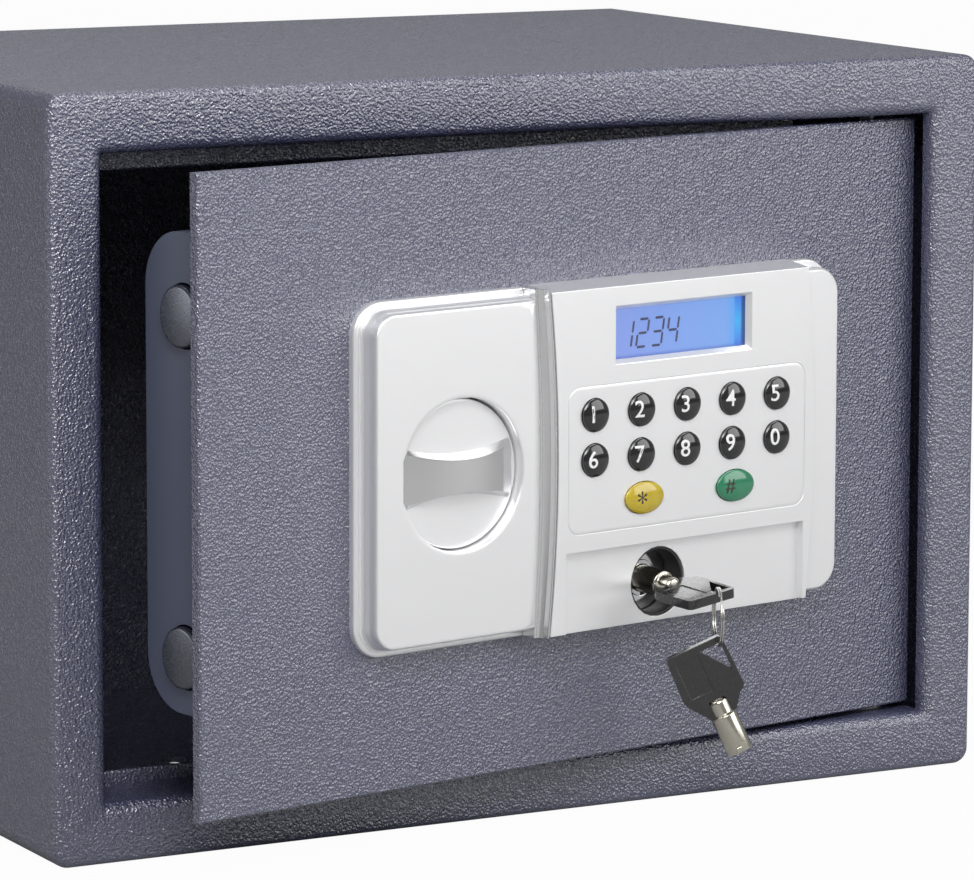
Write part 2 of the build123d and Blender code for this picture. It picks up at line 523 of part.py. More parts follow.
def build_lock():
    """Lock barrel with its sleeve and nut, the plug with its ring groove and cam, and the key in it."""
    place = key_place().location
    body = rod_y(LOCK_X, LOCK_Z, LOCK_R, FACE, BACK + 20, 16)
    body += rod_y(LOCK_X, LOCK_Z, LOCK_HOLE_R - 0.2, out(SLEEVE_H), FACE, 24)
    body -= rod_y(LOCK_X, LOCK_Z, LOCK_HOLE_R - 0.95, out(SLEEVE_H + 1), out(FLANGE_H), 24)
    body -= rod_y(LOCK_X, LOCK_Z, PLUG_R + RUNNING, out(5), BACK + 25)
    door("lock_body", body)
    nut = rod_y(LOCK_X, LOCK_Z, 24.0 / sqrt(3), BACK, BACK + 4, 6)
    nut -= rod_y(LOCK_X, LOCK_Z, LOCK_R, BACK - 1, BACK + 5, 16)
    door("lock_nut", nut)

    plug = rod_y(LOCK_X, LOCK_Z, PLUG_R, out(PLUG_H), BACK + 20.6)
    groove = rod_y(LOCK_X, LOCK_Z, 4.85, out(PLUG_H + 1), FACE + 3, STEM_SIDES)
    plug -= groove - rod_y(LOCK_X, LOCK_Z, 2.9, out(PLUG_H + 2), FACE + 4, STEM_SIDES)
    plug -= box(-1.2, -0.5, 3.4, 1.2, 4, 7).moved(place)
    plug += rod_y(LOCK_X, LOCK_Z, 2.8, BACK + 20, BACK + 25, 12)
    door("lock_plug", plug)
    cam_y = BACK + 20.7
    cam = box(LOCK_X - 22, cam_y, LOCK_Z - 6, LOCK_X + 7, cam_y + 2, LOCK_Z + 6)
    cam = chamfer(cam.edges().filter_by(Axis.Y), 3)
    cam -= rod_y(LOCK_X, LOCK_Z, 2.8, cam_y - 1, cam_y + 3, 12)
    door("lock_cam", cam)

    stem, bow = key_pieces()
    door("key_stem", stem.moved(place))
    door("key_bow", bow.moved(place))


def build_ring():
    """Split ring through the key's hole, and the twin key hanging from it; returns the three pivots."""
    turn, lean = radians(RING_TURN), radians(SPARE_LEAN)
    plane_dir = Vector(-sin(turn), -cos(turn), 0)        # along the ring's plane, towards the viewer
    across = Vector(cos(turn), -sin(turn), 0)            # square to it
    # The ring hangs over the strip between the hole and the bow's end; its wire slants down through the hole.
    strip = HOLE_IN / 2
    grip = key_place().from_local_coords(Vector(3.2, KEY_LENGTH - strip, 0))
    inner, half_width = RING_R - WIRE_R, 2 * WIRE_R
    reach = strip / cos(turn) + half_width * sin(turn)
    centre = grip + Vector(0, 0, BOW_T / 2 + 0.58 - sqrt(inner ** 2 - reach ** 2))

    def disc(radius, half):
        return rod(centre - across * half, across, radius, 2 * half, RING_SIDES)

    door("split_ring", disc(RING_R + WIRE_R, half_width) - disc(inner, 3))

    # The twin key's bow faces along the ring's plane; its hole's far corner rests on the ring's lowest wire.
    stem, bow = key_pieces()
    p_dir = across * cos(lean) + Vector(0, 0, sin(lean))
    q_dir = across * -sin(lean) + Vector(0, 0, cos(lean))
    wire = centre - Vector(0, 0, RING_R)
    origin = wire - p_dir * (HOLE_X1 - 1.1) - q_dir * (KEY_LENGTH - HOLE_IN - 1.1)
    place = along_axis(origin, p_dir, q_dir).location
    door("spare_key_stem", stem.moved(place))
    door("spare_key_bow", bow.moved(place))
    return {"ring grip": grip, "spare rest": wire, "ring centre": centre}, plane_dir, across


def turned(point):
    """A closed-door point where it stands with the door ajar, in metres."""
    angle = radians(REST_OPEN)
    dx, dy = point[0] - HINGE_X, point[1] - HINGE_Y
    x = HINGE_X + dx * cos(angle) - dy * sin(angle)
    y = HINGE_Y + dx * sin(angle) + dy * cos(angle)
    return [round(v / 1000, 6) for v in (x, y, point[2])]


def heading(x, y):
    """A level direction on the closed door, as it points with the door ajar."""
    angle = radians(REST_OPEN)
    return [round(x * cos(angle) - y * sin(angle), 6), round(x * sin(angle) + y * cos(angle), 6), 0]


build_frame()
build_cabinet()
build_door_steel()
build_cover()
build_battery()
build_bolts()
build_carrier()
build_spindle()
build_solenoid()
build_escutcheon()
build_divider()
build_knob()
build_housing()
build_display()
build_keypad()
build_lock()
pivots, ring_plane, across_ring = build_ring()

for name, shape in parts.items():
    solids = shape.solids()
    if len(solids) != 1 or not shape.is_valid:
        print(name, "solids", len(solids), "valid", shape.is_valid)
    export_step(solids[0], f"parts/{name}.step")
print(len(parts), "nodes")
for label, point in {"hinge": (HINGE_X, HINGE_Y, 0), "knob": (KNOB_X, out(0), KNOB_Z),
                     "lock": (LOCK_X, out(0), LOCK_Z)}.items():
    print(label, turned(point))
for label, point in pivots.items():
    print(label, turned(tuple(point)))
print("inward", heading(0, 1), "along", heading(1, 0))
print("ring plane", heading(ring_plane.X, ring_plane.Y))
print("across ring", heading(across_ring.X, across_ring.Y))
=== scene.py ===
# %% [markdown]
# # A small electronic safe, its door ajar
# The safe is a box of folded sheet steel with a thick swinging door. A silver control panel on the door
# carries a turn knob, a keypad, a lit display and an emergency lock with a key in it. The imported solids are
# loaded first, because every surface made here is placed by them.

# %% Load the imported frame
import json
from math import cos, pi, radians, sin

import bmesh
import bpy
import numpy as np
from mathutils import Matrix, Vector


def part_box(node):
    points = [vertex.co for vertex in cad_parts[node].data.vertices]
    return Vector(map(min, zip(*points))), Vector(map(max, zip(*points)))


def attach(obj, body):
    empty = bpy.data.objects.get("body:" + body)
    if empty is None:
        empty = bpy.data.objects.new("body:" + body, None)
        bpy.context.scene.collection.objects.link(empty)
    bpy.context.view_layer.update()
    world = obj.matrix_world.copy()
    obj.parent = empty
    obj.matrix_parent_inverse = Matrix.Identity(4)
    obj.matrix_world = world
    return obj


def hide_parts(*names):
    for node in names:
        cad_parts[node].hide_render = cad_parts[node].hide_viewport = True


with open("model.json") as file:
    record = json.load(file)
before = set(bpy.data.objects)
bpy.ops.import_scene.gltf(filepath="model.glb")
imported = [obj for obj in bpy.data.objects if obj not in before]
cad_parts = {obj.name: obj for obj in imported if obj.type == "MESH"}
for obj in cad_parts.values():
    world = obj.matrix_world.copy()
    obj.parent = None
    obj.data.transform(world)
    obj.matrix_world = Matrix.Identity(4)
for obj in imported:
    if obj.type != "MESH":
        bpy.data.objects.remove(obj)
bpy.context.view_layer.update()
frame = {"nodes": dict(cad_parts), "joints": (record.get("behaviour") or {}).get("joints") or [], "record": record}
MM = 0.001

# %% [markdown]
# The camera comes first, because everything else is judged through it. It was found from the straight edges
# of the cabinet: a long lens, a little above the safe and to its left, looking slightly down. The lens is
# given in picture points, and the shift keeps the safe where it is in the frame.

# %% Camera
FRAME_W, FRAME_H = 974, 880
FOCAL_PX = 5190.0
OPTICAL_ROW = 362.0
CAMERA_AT = Vector((-0.8203, -1.6250, 0.3934))
YAW, PITCH, ROLL = radians(28.14), radians(7.98), radians(-0.12)


def look(yaw, pitch, roll):
    """Camera axes as columns: right, up, back. Yaw turns the view from +Y towards +X and pitch looks down."""
    ahead = Vector((sin(yaw) * cos(pitch), cos(yaw) * cos(pitch), -sin(pitch)))
    right = Vector((cos(yaw), -sin(yaw), 0))
    down = ahead.cross(right)
    right, down = right * cos(roll) + down * sin(roll), down * cos(roll) - right * sin(roll)
    return Matrix((right, -down, -ahead)).transposed()


def linked(name, data):
    """An object in the scene for a mesh, a curve, a lamp or a camera."""
    made = bpy.data.objects.new(name, data)
    bpy.context.scene.collection.objects.link(made)
    return made


lens = bpy.data.cameras.new("camera")
lens.sensor_width = 36.0
lens.lens = FOCAL_PX * lens.sensor_width / FRAME_W
lens.shift_y = (OPTICAL_ROW - FRAME_H / 2) / FRAME_W
lens.clip_start, lens.clip_end = 0.05, 60.0
camera = linked("camera", lens)
camera.matrix_world = Matrix.Translation(CAMERA_AT) @ look(YAW, PITCH, ROLL).to_4x4()
bpy.context.scene.camera = camera
print("lens", round(lens.lens, 1), "mm, shift", round(lens.shift_y, 3))

# %% [markdown]
# Most of the pieces are drawn on the door while it is shut, in millimetres: u runs to the right, h stands
# out from the door plate and z goes up. One function then turns them about the hinge pin to where the door
# stands. The pin, the angle and the plate's face are read from the frame, so the pieces follow the solids.

# %% Door coordinates
swing = next(j for j in frame["joints"] if j["name"] == "door_swing")
PIN = np.array(swing["pos_m"][:2])
AJAR = radians(-swing["range_deg"][0])


def turn(points, angle):
    """Turns points about the hinge pin: x and y are taken from the pin, turned by the angle, and put back."""
    points = np.array(points, float)
    dx, dy = points[..., 0] - PIN[0], points[..., 1] - PIN[1]
    points[..., 0] = PIN[0] + dx * cos(angle) - dy * sin(angle)
    points[..., 1] = PIN[1] + dx * sin(angle) + dy * cos(angle)
    return points


def mesh_points(mesh):
    """A mesh's vertices, a row of x, y and z for each."""
    flat = np.empty(len(mesh.vertices) * 3, np.float32)
    mesh.vertices.foreach_get("co", flat)
    return flat.reshape(-1, 3).astype(float)


def shut_points(node):
    """A solid's vertices in metres, turned back to where they are with the door shut."""
    return turn(mesh_points(frame["nodes"][node].data), -AJAR)


PLATE_Y = shut_points("door_plate")[:, 1].min()


def door_box(node):
    """Lowest and highest (u, h, z) of a solid of the door, in millimetres."""
    closed = shut_points(node)
    uhz = np.stack([closed[:, 0], PLATE_Y - closed[:, 1], closed[:, 2]], 1) / MM
    return uhz.min(0), uhz.max(0)


def node_middle(node):
    """Middle of a solid of the door as (u, z)."""
    low, high = door_box(node)
    return (low[0] + high[0]) / 2, (low[2] + high[2]) / 2


def on_door(u, h, z):
    """Points in metres, with the door ajar, for u, h and z in millimetres on the shut door."""
    u, h, z = np.broadcast_arrays(u, h, z)
    return turn(np.stack([u * MM, PLATE_Y - h * MM, z * MM], -1), AJAR)


print("door plate", np.round(door_box("door_plate"), 1).tolist())

# %% [markdown]
# Every new piece is a grid of points: rows are sections and columns go round them. The grid may close on
# itself either way, and flat ends are filled with one face. Small roundings come from one helper that eases
# the corners of a profile, because real edges are never quite sharp and it is the rounding that catches the
# light. A Bevel modifier could round them as well, but in a profile each corner has a radius of its own.

# %% Surfaces from grids
SHARP = radians(38)


def eased(points, radii, steps=5):
    """A profile whose inner corners become arcs, tangent to both runs and centred on the bisector."""
    points = np.asarray(points, float)
    out = [points[:1]]
    for before, corner, after, radius in zip(points, points[1:], points[2:], radii):
        a, b = before - corner, after - corner
        a, b = a / np.linalg.norm(a), b / np.linalg.norm(b)
        half = np.arccos(np.clip(a @ b, -1, 1)) / 2
        if radius <= 0 or half > radians(89.5):
            out.append(corner[None])
            continue
        middle = corner + (a + b) / np.linalg.norm(a + b) * radius / np.sin(half)
        run = radius / np.tan(half)
        start, end = corner + a * run - middle, corner + b * run - middle
        t = np.linspace(0, 1, steps + 1)[:, None]
        sweep = pi - 2 * half
        out.append(middle + (np.sin((1 - t) * sweep) * start + np.sin(t * sweep) * end) / np.sin(sweep))
    out.append(points[-1:])
    return np.concatenate(out)


def rounded_path(x0, x1, z0, z1, radius, steps=8):
    """Points round a rectangle from its lower left: each corner's centre plus the radius, turning."""
    radius = max(radius, 0.02)
    turns = np.linspace(0, pi / 2, steps + 1)
    corners = ((x0, z0, pi, 1, 1), (x1, z0, 1.5 * pi, -1, 1), (x1, z1, 0, -1, -1), (x0, z1, pi / 2, 1, -1))
    arcs = [np.stack([x + sx * radius + radius * np.cos(first + turns),
                      z + sz * radius + radius * np.sin(first + turns)], 1)
            for x, z, first, sx, sz in corners]
    return np.concatenate(arcs)


def circle(steps):
    """The angles of evenly spaced points round one full turn."""
    return np.linspace(0, 2 * pi, steps, endpoint=False)


def row_at(path, depth):
    """A row of a grid: a flat path with its depth, one number or one for each point, as the middle column."""
    return np.column_stack([path[:, 0], np.broadcast_to(depth, len(path)), path[:, 1]])


def smoothed(mesh):
    """Smooth shading, but edges sharper than the limit stay sharp."""
    mesh.shade_smooth()
    mesh.set_sharp_from_angle(angle=SHARP)
    return mesh


def built(name, points, faces, smooth=True):
    """An object at the origin from points and faces, normals turned outwards and sharp edges kept sharp."""
    mesh = bpy.data.meshes.new(name)
    mesh.from_pydata(np.asarray(points).reshape(-1, 3).tolist(), [], faces)
    work = bmesh.new()
    work.from_mesh(mesh)
    bmesh.ops.remove_doubles(work, verts=work.verts, dist=2e-7)
    bmesh.ops.recalc_face_normals(work, faces=work.faces)
    work.to_mesh(mesh)
    work.free()
    return linked(name, smoothed(mesh) if smooth else mesh)


def grid_faces(rows, cols, close_rows, close_cols, caps=(False, False), first=0):
    """Quads between neighbouring rows and columns of a grid, with one face over the first or the last row."""
    index = first + np.arange(rows * cols).reshape(rows, cols)
    down = np.roll(index, -1, 0) if close_rows else index[1:]
    here = index if close_rows else index[:-1]
    if close_cols:
        quads = np.stack([here, np.roll(here, -1, 1), np.roll(down, -1, 1), down], -1)
    else:
        quads = np.stack([here[:, :-1], here[:, 1:], down[:, 1:], down[:, :-1]], -1)
    faces = quads.reshape(-1, 4).tolist()
    faces += [row.tolist() for row, wanted in ((index[0], caps[0]), (index[-1], caps[1])) if wanted]
    return faces


def surface(name, grid, close_rows=False, close_cols=True, caps=(False, False)):
    """One grid of points made an object."""
    rows, cols = grid.shape[:2]
    return built(name, grid, grid_faces(rows, cols, close_rows, close_cols, caps))


def lathe(u, z, profile, a=1.0, b=1.0, steps=64):
    """Grid of a (radius, h) profile turned about (u, z) on the door, a times as wide and b times as high."""
    profile = np.asarray(profile, float)
    turns = circle(steps)
    radius, h = profile[:, :1], profile[:, 1:]
    return on_door(u + a * radius * np.cos(turns), h + 0 * turns, z + b * radius * np.sin(turns))


def finished(made, body, finish, slot, *nodes):
    """Gives a piece its finish, the body that it rides on and the solids that it stands for; the slot is not used.
    """
    made.data.materials.clear()
    made.data.materials.append(finish)
    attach(made, body)
    if nodes:
        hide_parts(*nodes)
    return made


print("an eased corner:", np.round(eased([(0, 1), (0, 0), (1, 0)], [0.4], 2), 2).tolist())

# %% [markdown]
# Finishes are written as sums. A small class wraps a socket, so that adding or multiplying two of them adds
# the Math node that does it, and another holds one material while it is put together. Nodes could be linked
# one by one instead, but then no line would read as the formula of its finish.

# %% Shader arithmetic
class Mark:
    """One output socket that can be added, subtracted, multiplied and divided."""

    def __init__(self, tree, socket):
        self.tree, self.socket = tree, socket

    def math(self, operation, *others, swap=False):
        """The Math node of this name over this socket and others, swapped round for a reflected operator."""
        node = self.tree.nodes.new("ShaderNodeMath")
        node.operation = operation
        values = [self, *others]
        for slot, value in zip(node.inputs, reversed(values) if swap else values):
            plug(self.tree, slot, value)
        return Mark(self.tree, node.outputs[0])

    def __add__(self, other):
        return self.math("ADD", other)

    def __mul__(self, other):
        return self.math("MULTIPLY", other)

    def __sub__(self, other):
        return self.math("SUBTRACT", other)

    def __rsub__(self, other):
        return self.math("SUBTRACT", other, swap=True)

    def __truediv__(self, other):
        return self.math("DIVIDE", other)

    def __rtruediv__(self, other):
        return self.math("DIVIDE", other, swap=True)

    __radd__, __rmul__ = __add__, __mul__

    def clip(self):
        """Held between 0 and 1."""
        return self.math("MINIMUM", 1.0).math("MAXIMUM", 0.0)


def plug(tree, slot, value):
    """Links a wrapped socket to an input, or writes a plain value there."""
    if isinstance(value, Mark):
        tree.links.new(value.socket, slot)
    elif isinstance(value, tuple) and len(value) == 3 and slot.type == "RGBA":
        slot.default_value = (*value, 1.0)
    else:
        slot.default_value = value


class Finish:
    """A material under construction: a Principled shader and the nodes that feed it."""

    def __init__(self, name, **fixed):
        self.material = bpy.data.materials.new(name)
        self.material.use_nodes = True
        self.tree = self.material.node_tree
        self.shader = next(n for n in self.tree.nodes if n.type == "BSDF_PRINCIPLED")
        self.place = self.node("ShaderNodeTexCoord", out="Object")
        self.set(**fixed)

    def node(self, kind, settings=(), out=0, **sockets):
        """Any node: settings first, then sockets by name, underscores for spaces, or by number as i0."""
        node = self.tree.nodes.new(kind)
        for name, value in dict(settings).items():
            setattr(node, name, value)
        for name, value in sockets.items():
            key = int(name[1:]) if name[0] == "i" and name[1:].isdigit() else name.replace("_", " ")
            plug(self.tree, node.inputs[key], value)
        return Mark(self.tree, node.outputs[out])

    def set(self, **sockets):
        """Feeds or writes the shader's own sockets."""
        for name, value in sockets.items():
            plug(self.tree, self.shader.inputs[name.replace("_", " ")], value)
        return self

    def noise(self, size, detail=2.0, rough=0.5, place=None):
        """Soft noise whose lumps are about this many millimetres across."""
        return self.node("ShaderNodeTexNoise", {"noise_dimensions": "3D"}, Vector=place or self.place,
                         Scale=1.0 / (size * MM), Detail=detail, Roughness=rough)

    def cells(self, size, feature="SMOOTH_F1"):
        """Distance to the middle of cells about this many millimetres across."""
        extra = {"Smoothness": 0.6} if feature == "SMOOTH_F1" else {}
        return self.node("ShaderNodeTexVoronoi", {"feature": feature}, Vector=self.place,
                         Scale=1.0 / (size * MM), **extra)

    def mix(self, factor, first, second):
        """Colour between two, by a factor."""
        node = self.tree.nodes.new("ShaderNodeMix")
        node.data_type = "RGBA"
        for slot, value in ((node.inputs[0], factor), (node.inputs[6], first), (node.inputs[7], second)):
            plug(self.tree, slot, value)
        return Mark(self.tree, node.outputs[2])

    def along(self, direction):
        """Distance in metres along a direction."""
        return self.node("ShaderNodeVectorMath", {"operation": "DOT_PRODUCT"}, out="Value",
                         i0=self.place, i1=tuple(direction))

    def bump(self, height, depth, strength=1.0):
        """Feeds the normal with a height that runs from 0 to 1 over this many millimetres."""
        made = self.node("ShaderNodeBump", Height=height, Distance=depth * MM, Strength=strength)
        return self.set(Normal=made)


# %% [markdown]
# The cabinet and the door are powder coated in slate blue with a fine wrinkle about a millimetre across,
# which sparkles where a lamp grazes it. A displaced mesh could carry it, but would need millions of faces, so
# it is bump: the distance to the middle of small cells and noise of two sizes, added together. Where the sum
# is high the coat is also darker and duller, so that the sparkle stays in small points.

# %% Painted finishes
SLATE = (0.052, 0.057, 0.118)
SLATE_DARK = (0.024, 0.027, 0.064)
SLATE_LIGHT = (0.084, 0.089, 0.158)


def textured_paint():
    """Wrinkled powder coat: lumps are 0.8 of the cells, 0.6 of the fine noise and a quarter of the wide."""
    made = Finish("textured paint", IOR=1.85, Specular_IOR_Level=1.0)
    lumps = made.cells(0.85) * 0.8 + made.noise(0.62, 2.0) * 0.6 + made.noise(2.2, 1.0) * 0.25
    made.bump(lumps, 0.52, 1.0)
    wide = made.noise(60, 3.0)
    shade = made.mix((lumps - 0.45).clip(), SLATE_LIGHT, SLATE_DARK)
    made.set(Base_Color=made.mix((wide - 0.3).clip() * 0.35, shade, SLATE))
    made.set(Roughness=0.17 + 0.10 * lumps)
    return made.material


def smooth_paint():
    """Plain coat with a faint orange peel, on the mechanism cover and the hinge parts."""
    made = Finish("smooth paint", IOR=1.5)
    peel = made.noise(2.4, 2.0)
    made.bump(peel, 0.05, 0.5)
    made.set(Base_Color=made.mix(made.noise(45, 3.0) * 0.5, (0.060, 0.072, 0.118), (0.082, 0.096, 0.146)))
    made.set(Roughness=0.34 + 0.12 * made.noise(9, 3.0))
    return made.material


TEXTURED = textured_paint()
SMOOTH = smooth_paint()
print("paints ready")

# %% [markdown]
# The panel is moulded plastic under a silver paint: nearly white, partly metallic, with the finest grain.
# The knob's grip and the divider are polished. The lid is a black moulding with a spark-eroded grain, and
# buttons and key grips are glossy. Rubber, board and inks are plainer.

# %% Plastics
def silver_plastic(name, metallic, colour, roughness):
    """Silver paint: its colour drifts towards one a twentieth darker, and a very fine grain dulls it."""
    made = Finish(name, Metallic=metallic)
    grain = made.noise(0.25, 2.0)
    made.bump(grain, 0.012, 0.4)
    darker = tuple(channel * 0.95 for channel in colour)
    made.set(Base_Color=made.mix(made.noise(30, 2.0) * 0.4, colour, darker))
    made.set(Roughness=roughness + 0.08 * grain)
    return made.material


def grained(name, dark, light, roughness, size=0.35, depth=0.03):
    """Moulding with a grain: 0.6 of the noise plus half of the cells, which sets colour, gloss and height."""
    made = Finish(name)
    grain = made.noise(size, 3.0) * 0.6 + made.cells(size * 1.6) * 0.5
    made.bump(grain, depth, 0.7)
    made.set(Base_Color=made.mix((grain - 0.2).clip(), light, dark))
    made.set(Roughness=roughness - 0.1 + 0.2 * grain)
    return made.material


def glossy(name, dark, light, roughness=0.08):
    """Hard shiny plastic: a coat over a colour that drifts a little, with fine wear in its gloss."""
    made = Finish(name, Coat_Weight=0.8, Coat_Roughness=0.03)
    made.set(Base_Color=made.mix(made.noise(4, 2.0), dark, light))
    made.set(Roughness=roughness + 0.08 * made.noise(1.2, 3.0))
    return made.material


SILVER = silver_plastic("silver plastic", 0.7, (0.93, 0.93, 0.94), 0.32)
POLISHED = silver_plastic("polished silver", 0.95, (0.78, 0.78, 0.79), 0.13)
BLACK = grained("black plastic", (0.012, 0.012, 0.013), (0.030, 0.030, 0.031), 0.42)
NYLON = grained("natural nylon", (0.55, 0.54, 0.50), (0.72, 0.71, 0.66), 0.45)
KEY_BLACK = glossy("key grip", (0.009, 0.009, 0.009), (0.017, 0.017, 0.016), 0.24)
RUBBER = grained("grey rubber", (0.14, 0.14, 0.145), (0.20, 0.20, 0.20), 0.75)
BOARD = grained("green board", (0.010, 0.075, 0.028), (0.016, 0.11, 0.045), 0.35, 1.2, 0.02)
BLACK_BUTTON = glossy("black button", (0.006, 0.006, 0.007), (0.012, 0.012, 0.013))
YELLOW_BUTTON = glossy("yellow button", (0.42, 0.30, 0.010), (0.58, 0.45, 0.03), 0.14)
GREEN_BUTTON = glossy("green button", (0.010, 0.16, 0.075), (0.035, 0.25, 0.13), 0.14)
RED_BUTTON = glossy("red button", (0.42, 0.012, 0.010), (0.55, 0.03, 0.02), 0.2)
JACKET = glossy("cell jacket", (0.02, 0.022, 0.028), (0.05, 0.052, 0.06), 0.25)
WHITE_INK = grained("white ink", (0.72, 0.72, 0.72), (0.85, 0.85, 0.85), 0.4, 0.2, 0.004)
DARK_INK = grained("dark ink", (0.025, 0.022, 0.02), (0.05, 0.045, 0.04), 0.5, 0.2, 0.004)
print("plastics ready, the panel in", SILVER.name)

# %% [markdown]
# Bolts, key and ring are bare metal. Turned steel is dark with fine level marks, zinc plate has a soft
# crystal bloom, and chrome and nickel are smooth with faint handling marks in their gloss. One function with
# a size, a depth and a stretch makes them all, because they differ only in these and in colour.

# %% Metals
def metal(name, colour, other, roughness, size, stretch=(1, 1, 1), depth=0.01):
    """A metal whose colour and gloss drift, with fine marks that may be stretched one way."""
    made = Finish(name, Metallic=1.0)
    place = made.node("ShaderNodeMapping", Vector=made.place, Scale=stretch)
    marks = made.noise(size, 4.0, 0.6, place)
    made.bump(marks, depth, 0.5)
    made.set(Base_Color=made.mix((marks * 1.6 - 0.3).clip(), colour, other))
    made.set(Roughness=roughness + 0.18 * (marks - 0.4).clip() + 0.06 * made.noise(14, 2.0))
    return made.material


STEEL = metal("turned steel", (0.20, 0.21, 0.24), (0.09, 0.10, 0.12), 0.22, 1.2, (1, 1, 6), depth=0.05)
ZINC = metal("zinc plate", (0.58, 0.60, 0.62), (0.46, 0.48, 0.51), 0.30, 5.0)
CHROME = metal("bright chrome", (0.70, 0.70, 0.71), (0.62, 0.62, 0.63), 0.06, 2.0, depth=0.002)
NICKEL = metal("key nickel", (0.66, 0.63, 0.55), (0.55, 0.52, 0.44), 0.16, 1.5, depth=0.004)
WIRE = metal("ring wire", (0.68, 0.67, 0.64), (0.50, 0.49, 0.46), 0.14, 1.0, depth=0.003)
print("metals ready:", ", ".join(made.name for made in (STEEL, ZINC, CHROME, NICKEL, WIRE)))

# %% [markdown]
# The display is a lit liquid crystal: a pale blue glow that deepens to pure blue and cyan at its right end,
# where the lamp is. A lamp inside could light it, but a glow that is worked out from the place on the face
# looks the same under any other light. Its window is a thin clear pane in front.

# %% Display and window
DOOR_RIGHT = (cos(AJAR), sin(AJAR), 0.0)
LCD_LOW, LCD_HIGH = door_box("display_window")


def lit_display():
    """Glow that changes with the share of the way across and up the window, both from 0 to 1."""
    made = Finish("lit display", Roughness=0.35, Emission_Strength=0.82)
    left, right = (on_door(u, 0, 0) @ np.array(DOOR_RIGHT) for u in (LCD_LOW[0] + 1.5, LCD_HIGH[0] - 1.5))
    across = (made.along(DOOR_RIGHT) - float(left)) / float(right - left)
    up = (made.along((0, 0, 1)) - float(LCD_LOW[2] * MM)) / float((LCD_HIGH[2] - LCD_LOW[2]) * MM)
    middle = (1.0 - (up - 0.5).math("ABSOLUTE") * 2.2).clip()
    glow = made.mix((across * 1.1).clip(), (0.25, 0.36, 0.88), (0.20, 0.44, 0.95))
    glow = made.mix(((across - 0.86) * 12.0).clip(), glow, (0.08, 0.42, 0.98))
    lamp = made.mix(middle, (0.01, 0.17, 0.85), (0.0, 0.50, 1.0))
    glow = made.mix(((across - 0.925) * 90.0).clip(), glow, lamp)
    glow = made.mix(((across - 0.975) * 70.0).clip() * 0.9, glow, (0.0, 0.04, 0.22))
    glow = made.mix(((0.13 - up) * 16.0).clip() * 0.75, glow, (0.05, 0.11, 0.55))
    dots = made.cells(0.22, "F1")
    made.set(Base_Color=(0.03, 0.05, 0.12), Emission_Color=made.mix(dots * 0.12, glow, (0.1, 0.14, 0.6)))
    return made.material


def clear_window():
    """Clear plastic pane with the faintest tint and wear."""
    made = Finish("clear window", Transmission_Weight=1.0, IOR=1.45)
    made.set(Base_Color=made.mix(made.noise(20, 2.0) * 0.1, (1.0, 1.0, 1.0), (0.94, 0.96, 1.0)))
    made.set(Roughness=0.01 + 0.03 * made.noise(6, 3.0))
    return made.material


DISPLAY = lit_display()
SEGMENT = grained("display segments", (0.016, 0.024, 0.10), (0.030, 0.042, 0.16), 0.45, 0.2, 0.002)
WINDOW = clear_window()
print("window", np.round(LCD_LOW, 1), np.round(LCD_HIGH, 1))

# %% [markdown]
# Each solid first gets the finish of its slot. Many of them stay as they are, and the rest are stood for by
# finer surfaces further down.

# %% Finishes by slot
BY_SLOT = {
    "textured_paint": TEXTURED, "smooth_paint": SMOOTH, "battery_lid": BLACK, "black_plastic": BLACK,
    "nylon": NYLON, "bright_steel": STEEL, "zinc_plate": ZINC, "panel_plastic": SILVER, "bright_trim": SILVER,
    "clear_window": WINDOW, "display": DISPLAY, "board": BOARD, "rubber": RUBBER, "lock_chrome": CHROME,
    "key_nickel": NICKEL, "key_black": KEY_BLACK, "ring_steel": WIRE, "red_button": RED_BUTTON,
    "yellow_button": YELLOW_BUTTON, "green_button": GREEN_BUTTON, "black_button": BLACK_BUTTON,
    "cell_jacket": JACKET}
SLOT_OF = {part["node"]: part["material_slot"] for part in frame["record"]["subparts"]}
for node, solid in frame["nodes"].items():
    solid.data.materials.clear()
    solid.data.materials.append(BY_SLOT[SLOT_OF[node]])
BODY_OF = {node: body for body, nodes in frame["record"]["behaviour"]["bodies"].items() for node in nodes}
print("finishes given to", len(SLOT_OF), "solids")

# %% [markdown]
# The front frame is one sheet, folded: its skin turns back over the cabinet's edge, runs flat across the
# face and turns in at the doorway, deep along the sill and head and short at the jambs. A section of two
# profiles is carried round: the outer one follows the cabinet's outline and the inner one the doorway. Boxes
# joined by Booleans would give the same plan, but every fold would be sharp.

# %% Front frame
low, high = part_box("front_frame")
HALF, TALL = high.x / MM, high.z / MM
FRONT = low.y / MM
DOOR_X, DOOR_LOW, DOOR_HIGH = 156.0, 20.0, 230.0
JAMB_LEFT, JAMB_RIGHT, SILL = 10.0, 6.0, 26.0
SHEET, FOLD_R, DOORWAY_R = 2.0, 2.4, 4.0
CABINET_R, DOORWAY_CORNER_R = 5.5, 0.3
SKIN_BACK = 3.2
LIP_LEFT, LIP_RIGHT, SILL_LIP, HEAD_LIP, LIP_R = 4 - DOOR_X, 116.0, 4.5, 8.0, 0.8


def frame_rows(offset, y, inner):
    """A row at depth y: the cabinet's outline drawn in by the offset, or the doorway's drawn out by it."""
    if inner:
        path = rounded_path(-DOOR_X - offset, DOOR_X + offset, DOOR_LOW - offset, DOOR_HIGH + offset,
                            DOORWAY_CORNER_R + offset)
    else:
        path = rounded_path(offset - HALF, HALF - offset, offset, TALL - offset, CABINET_R - offset)
    return row_at(path, FRONT + y)


def jamb_depth():
    """Depth of the doorway's returns for each point round it: half of each corner belongs to each side."""
    steps = 9
    corner = np.arange(4 * steps) // steps
    late = np.arange(4 * steps) % steps > steps // 2
    side = (corner + late) % 4
    return np.array([JAMB_LEFT, SILL, JAMB_RIGHT, SILL])[side]


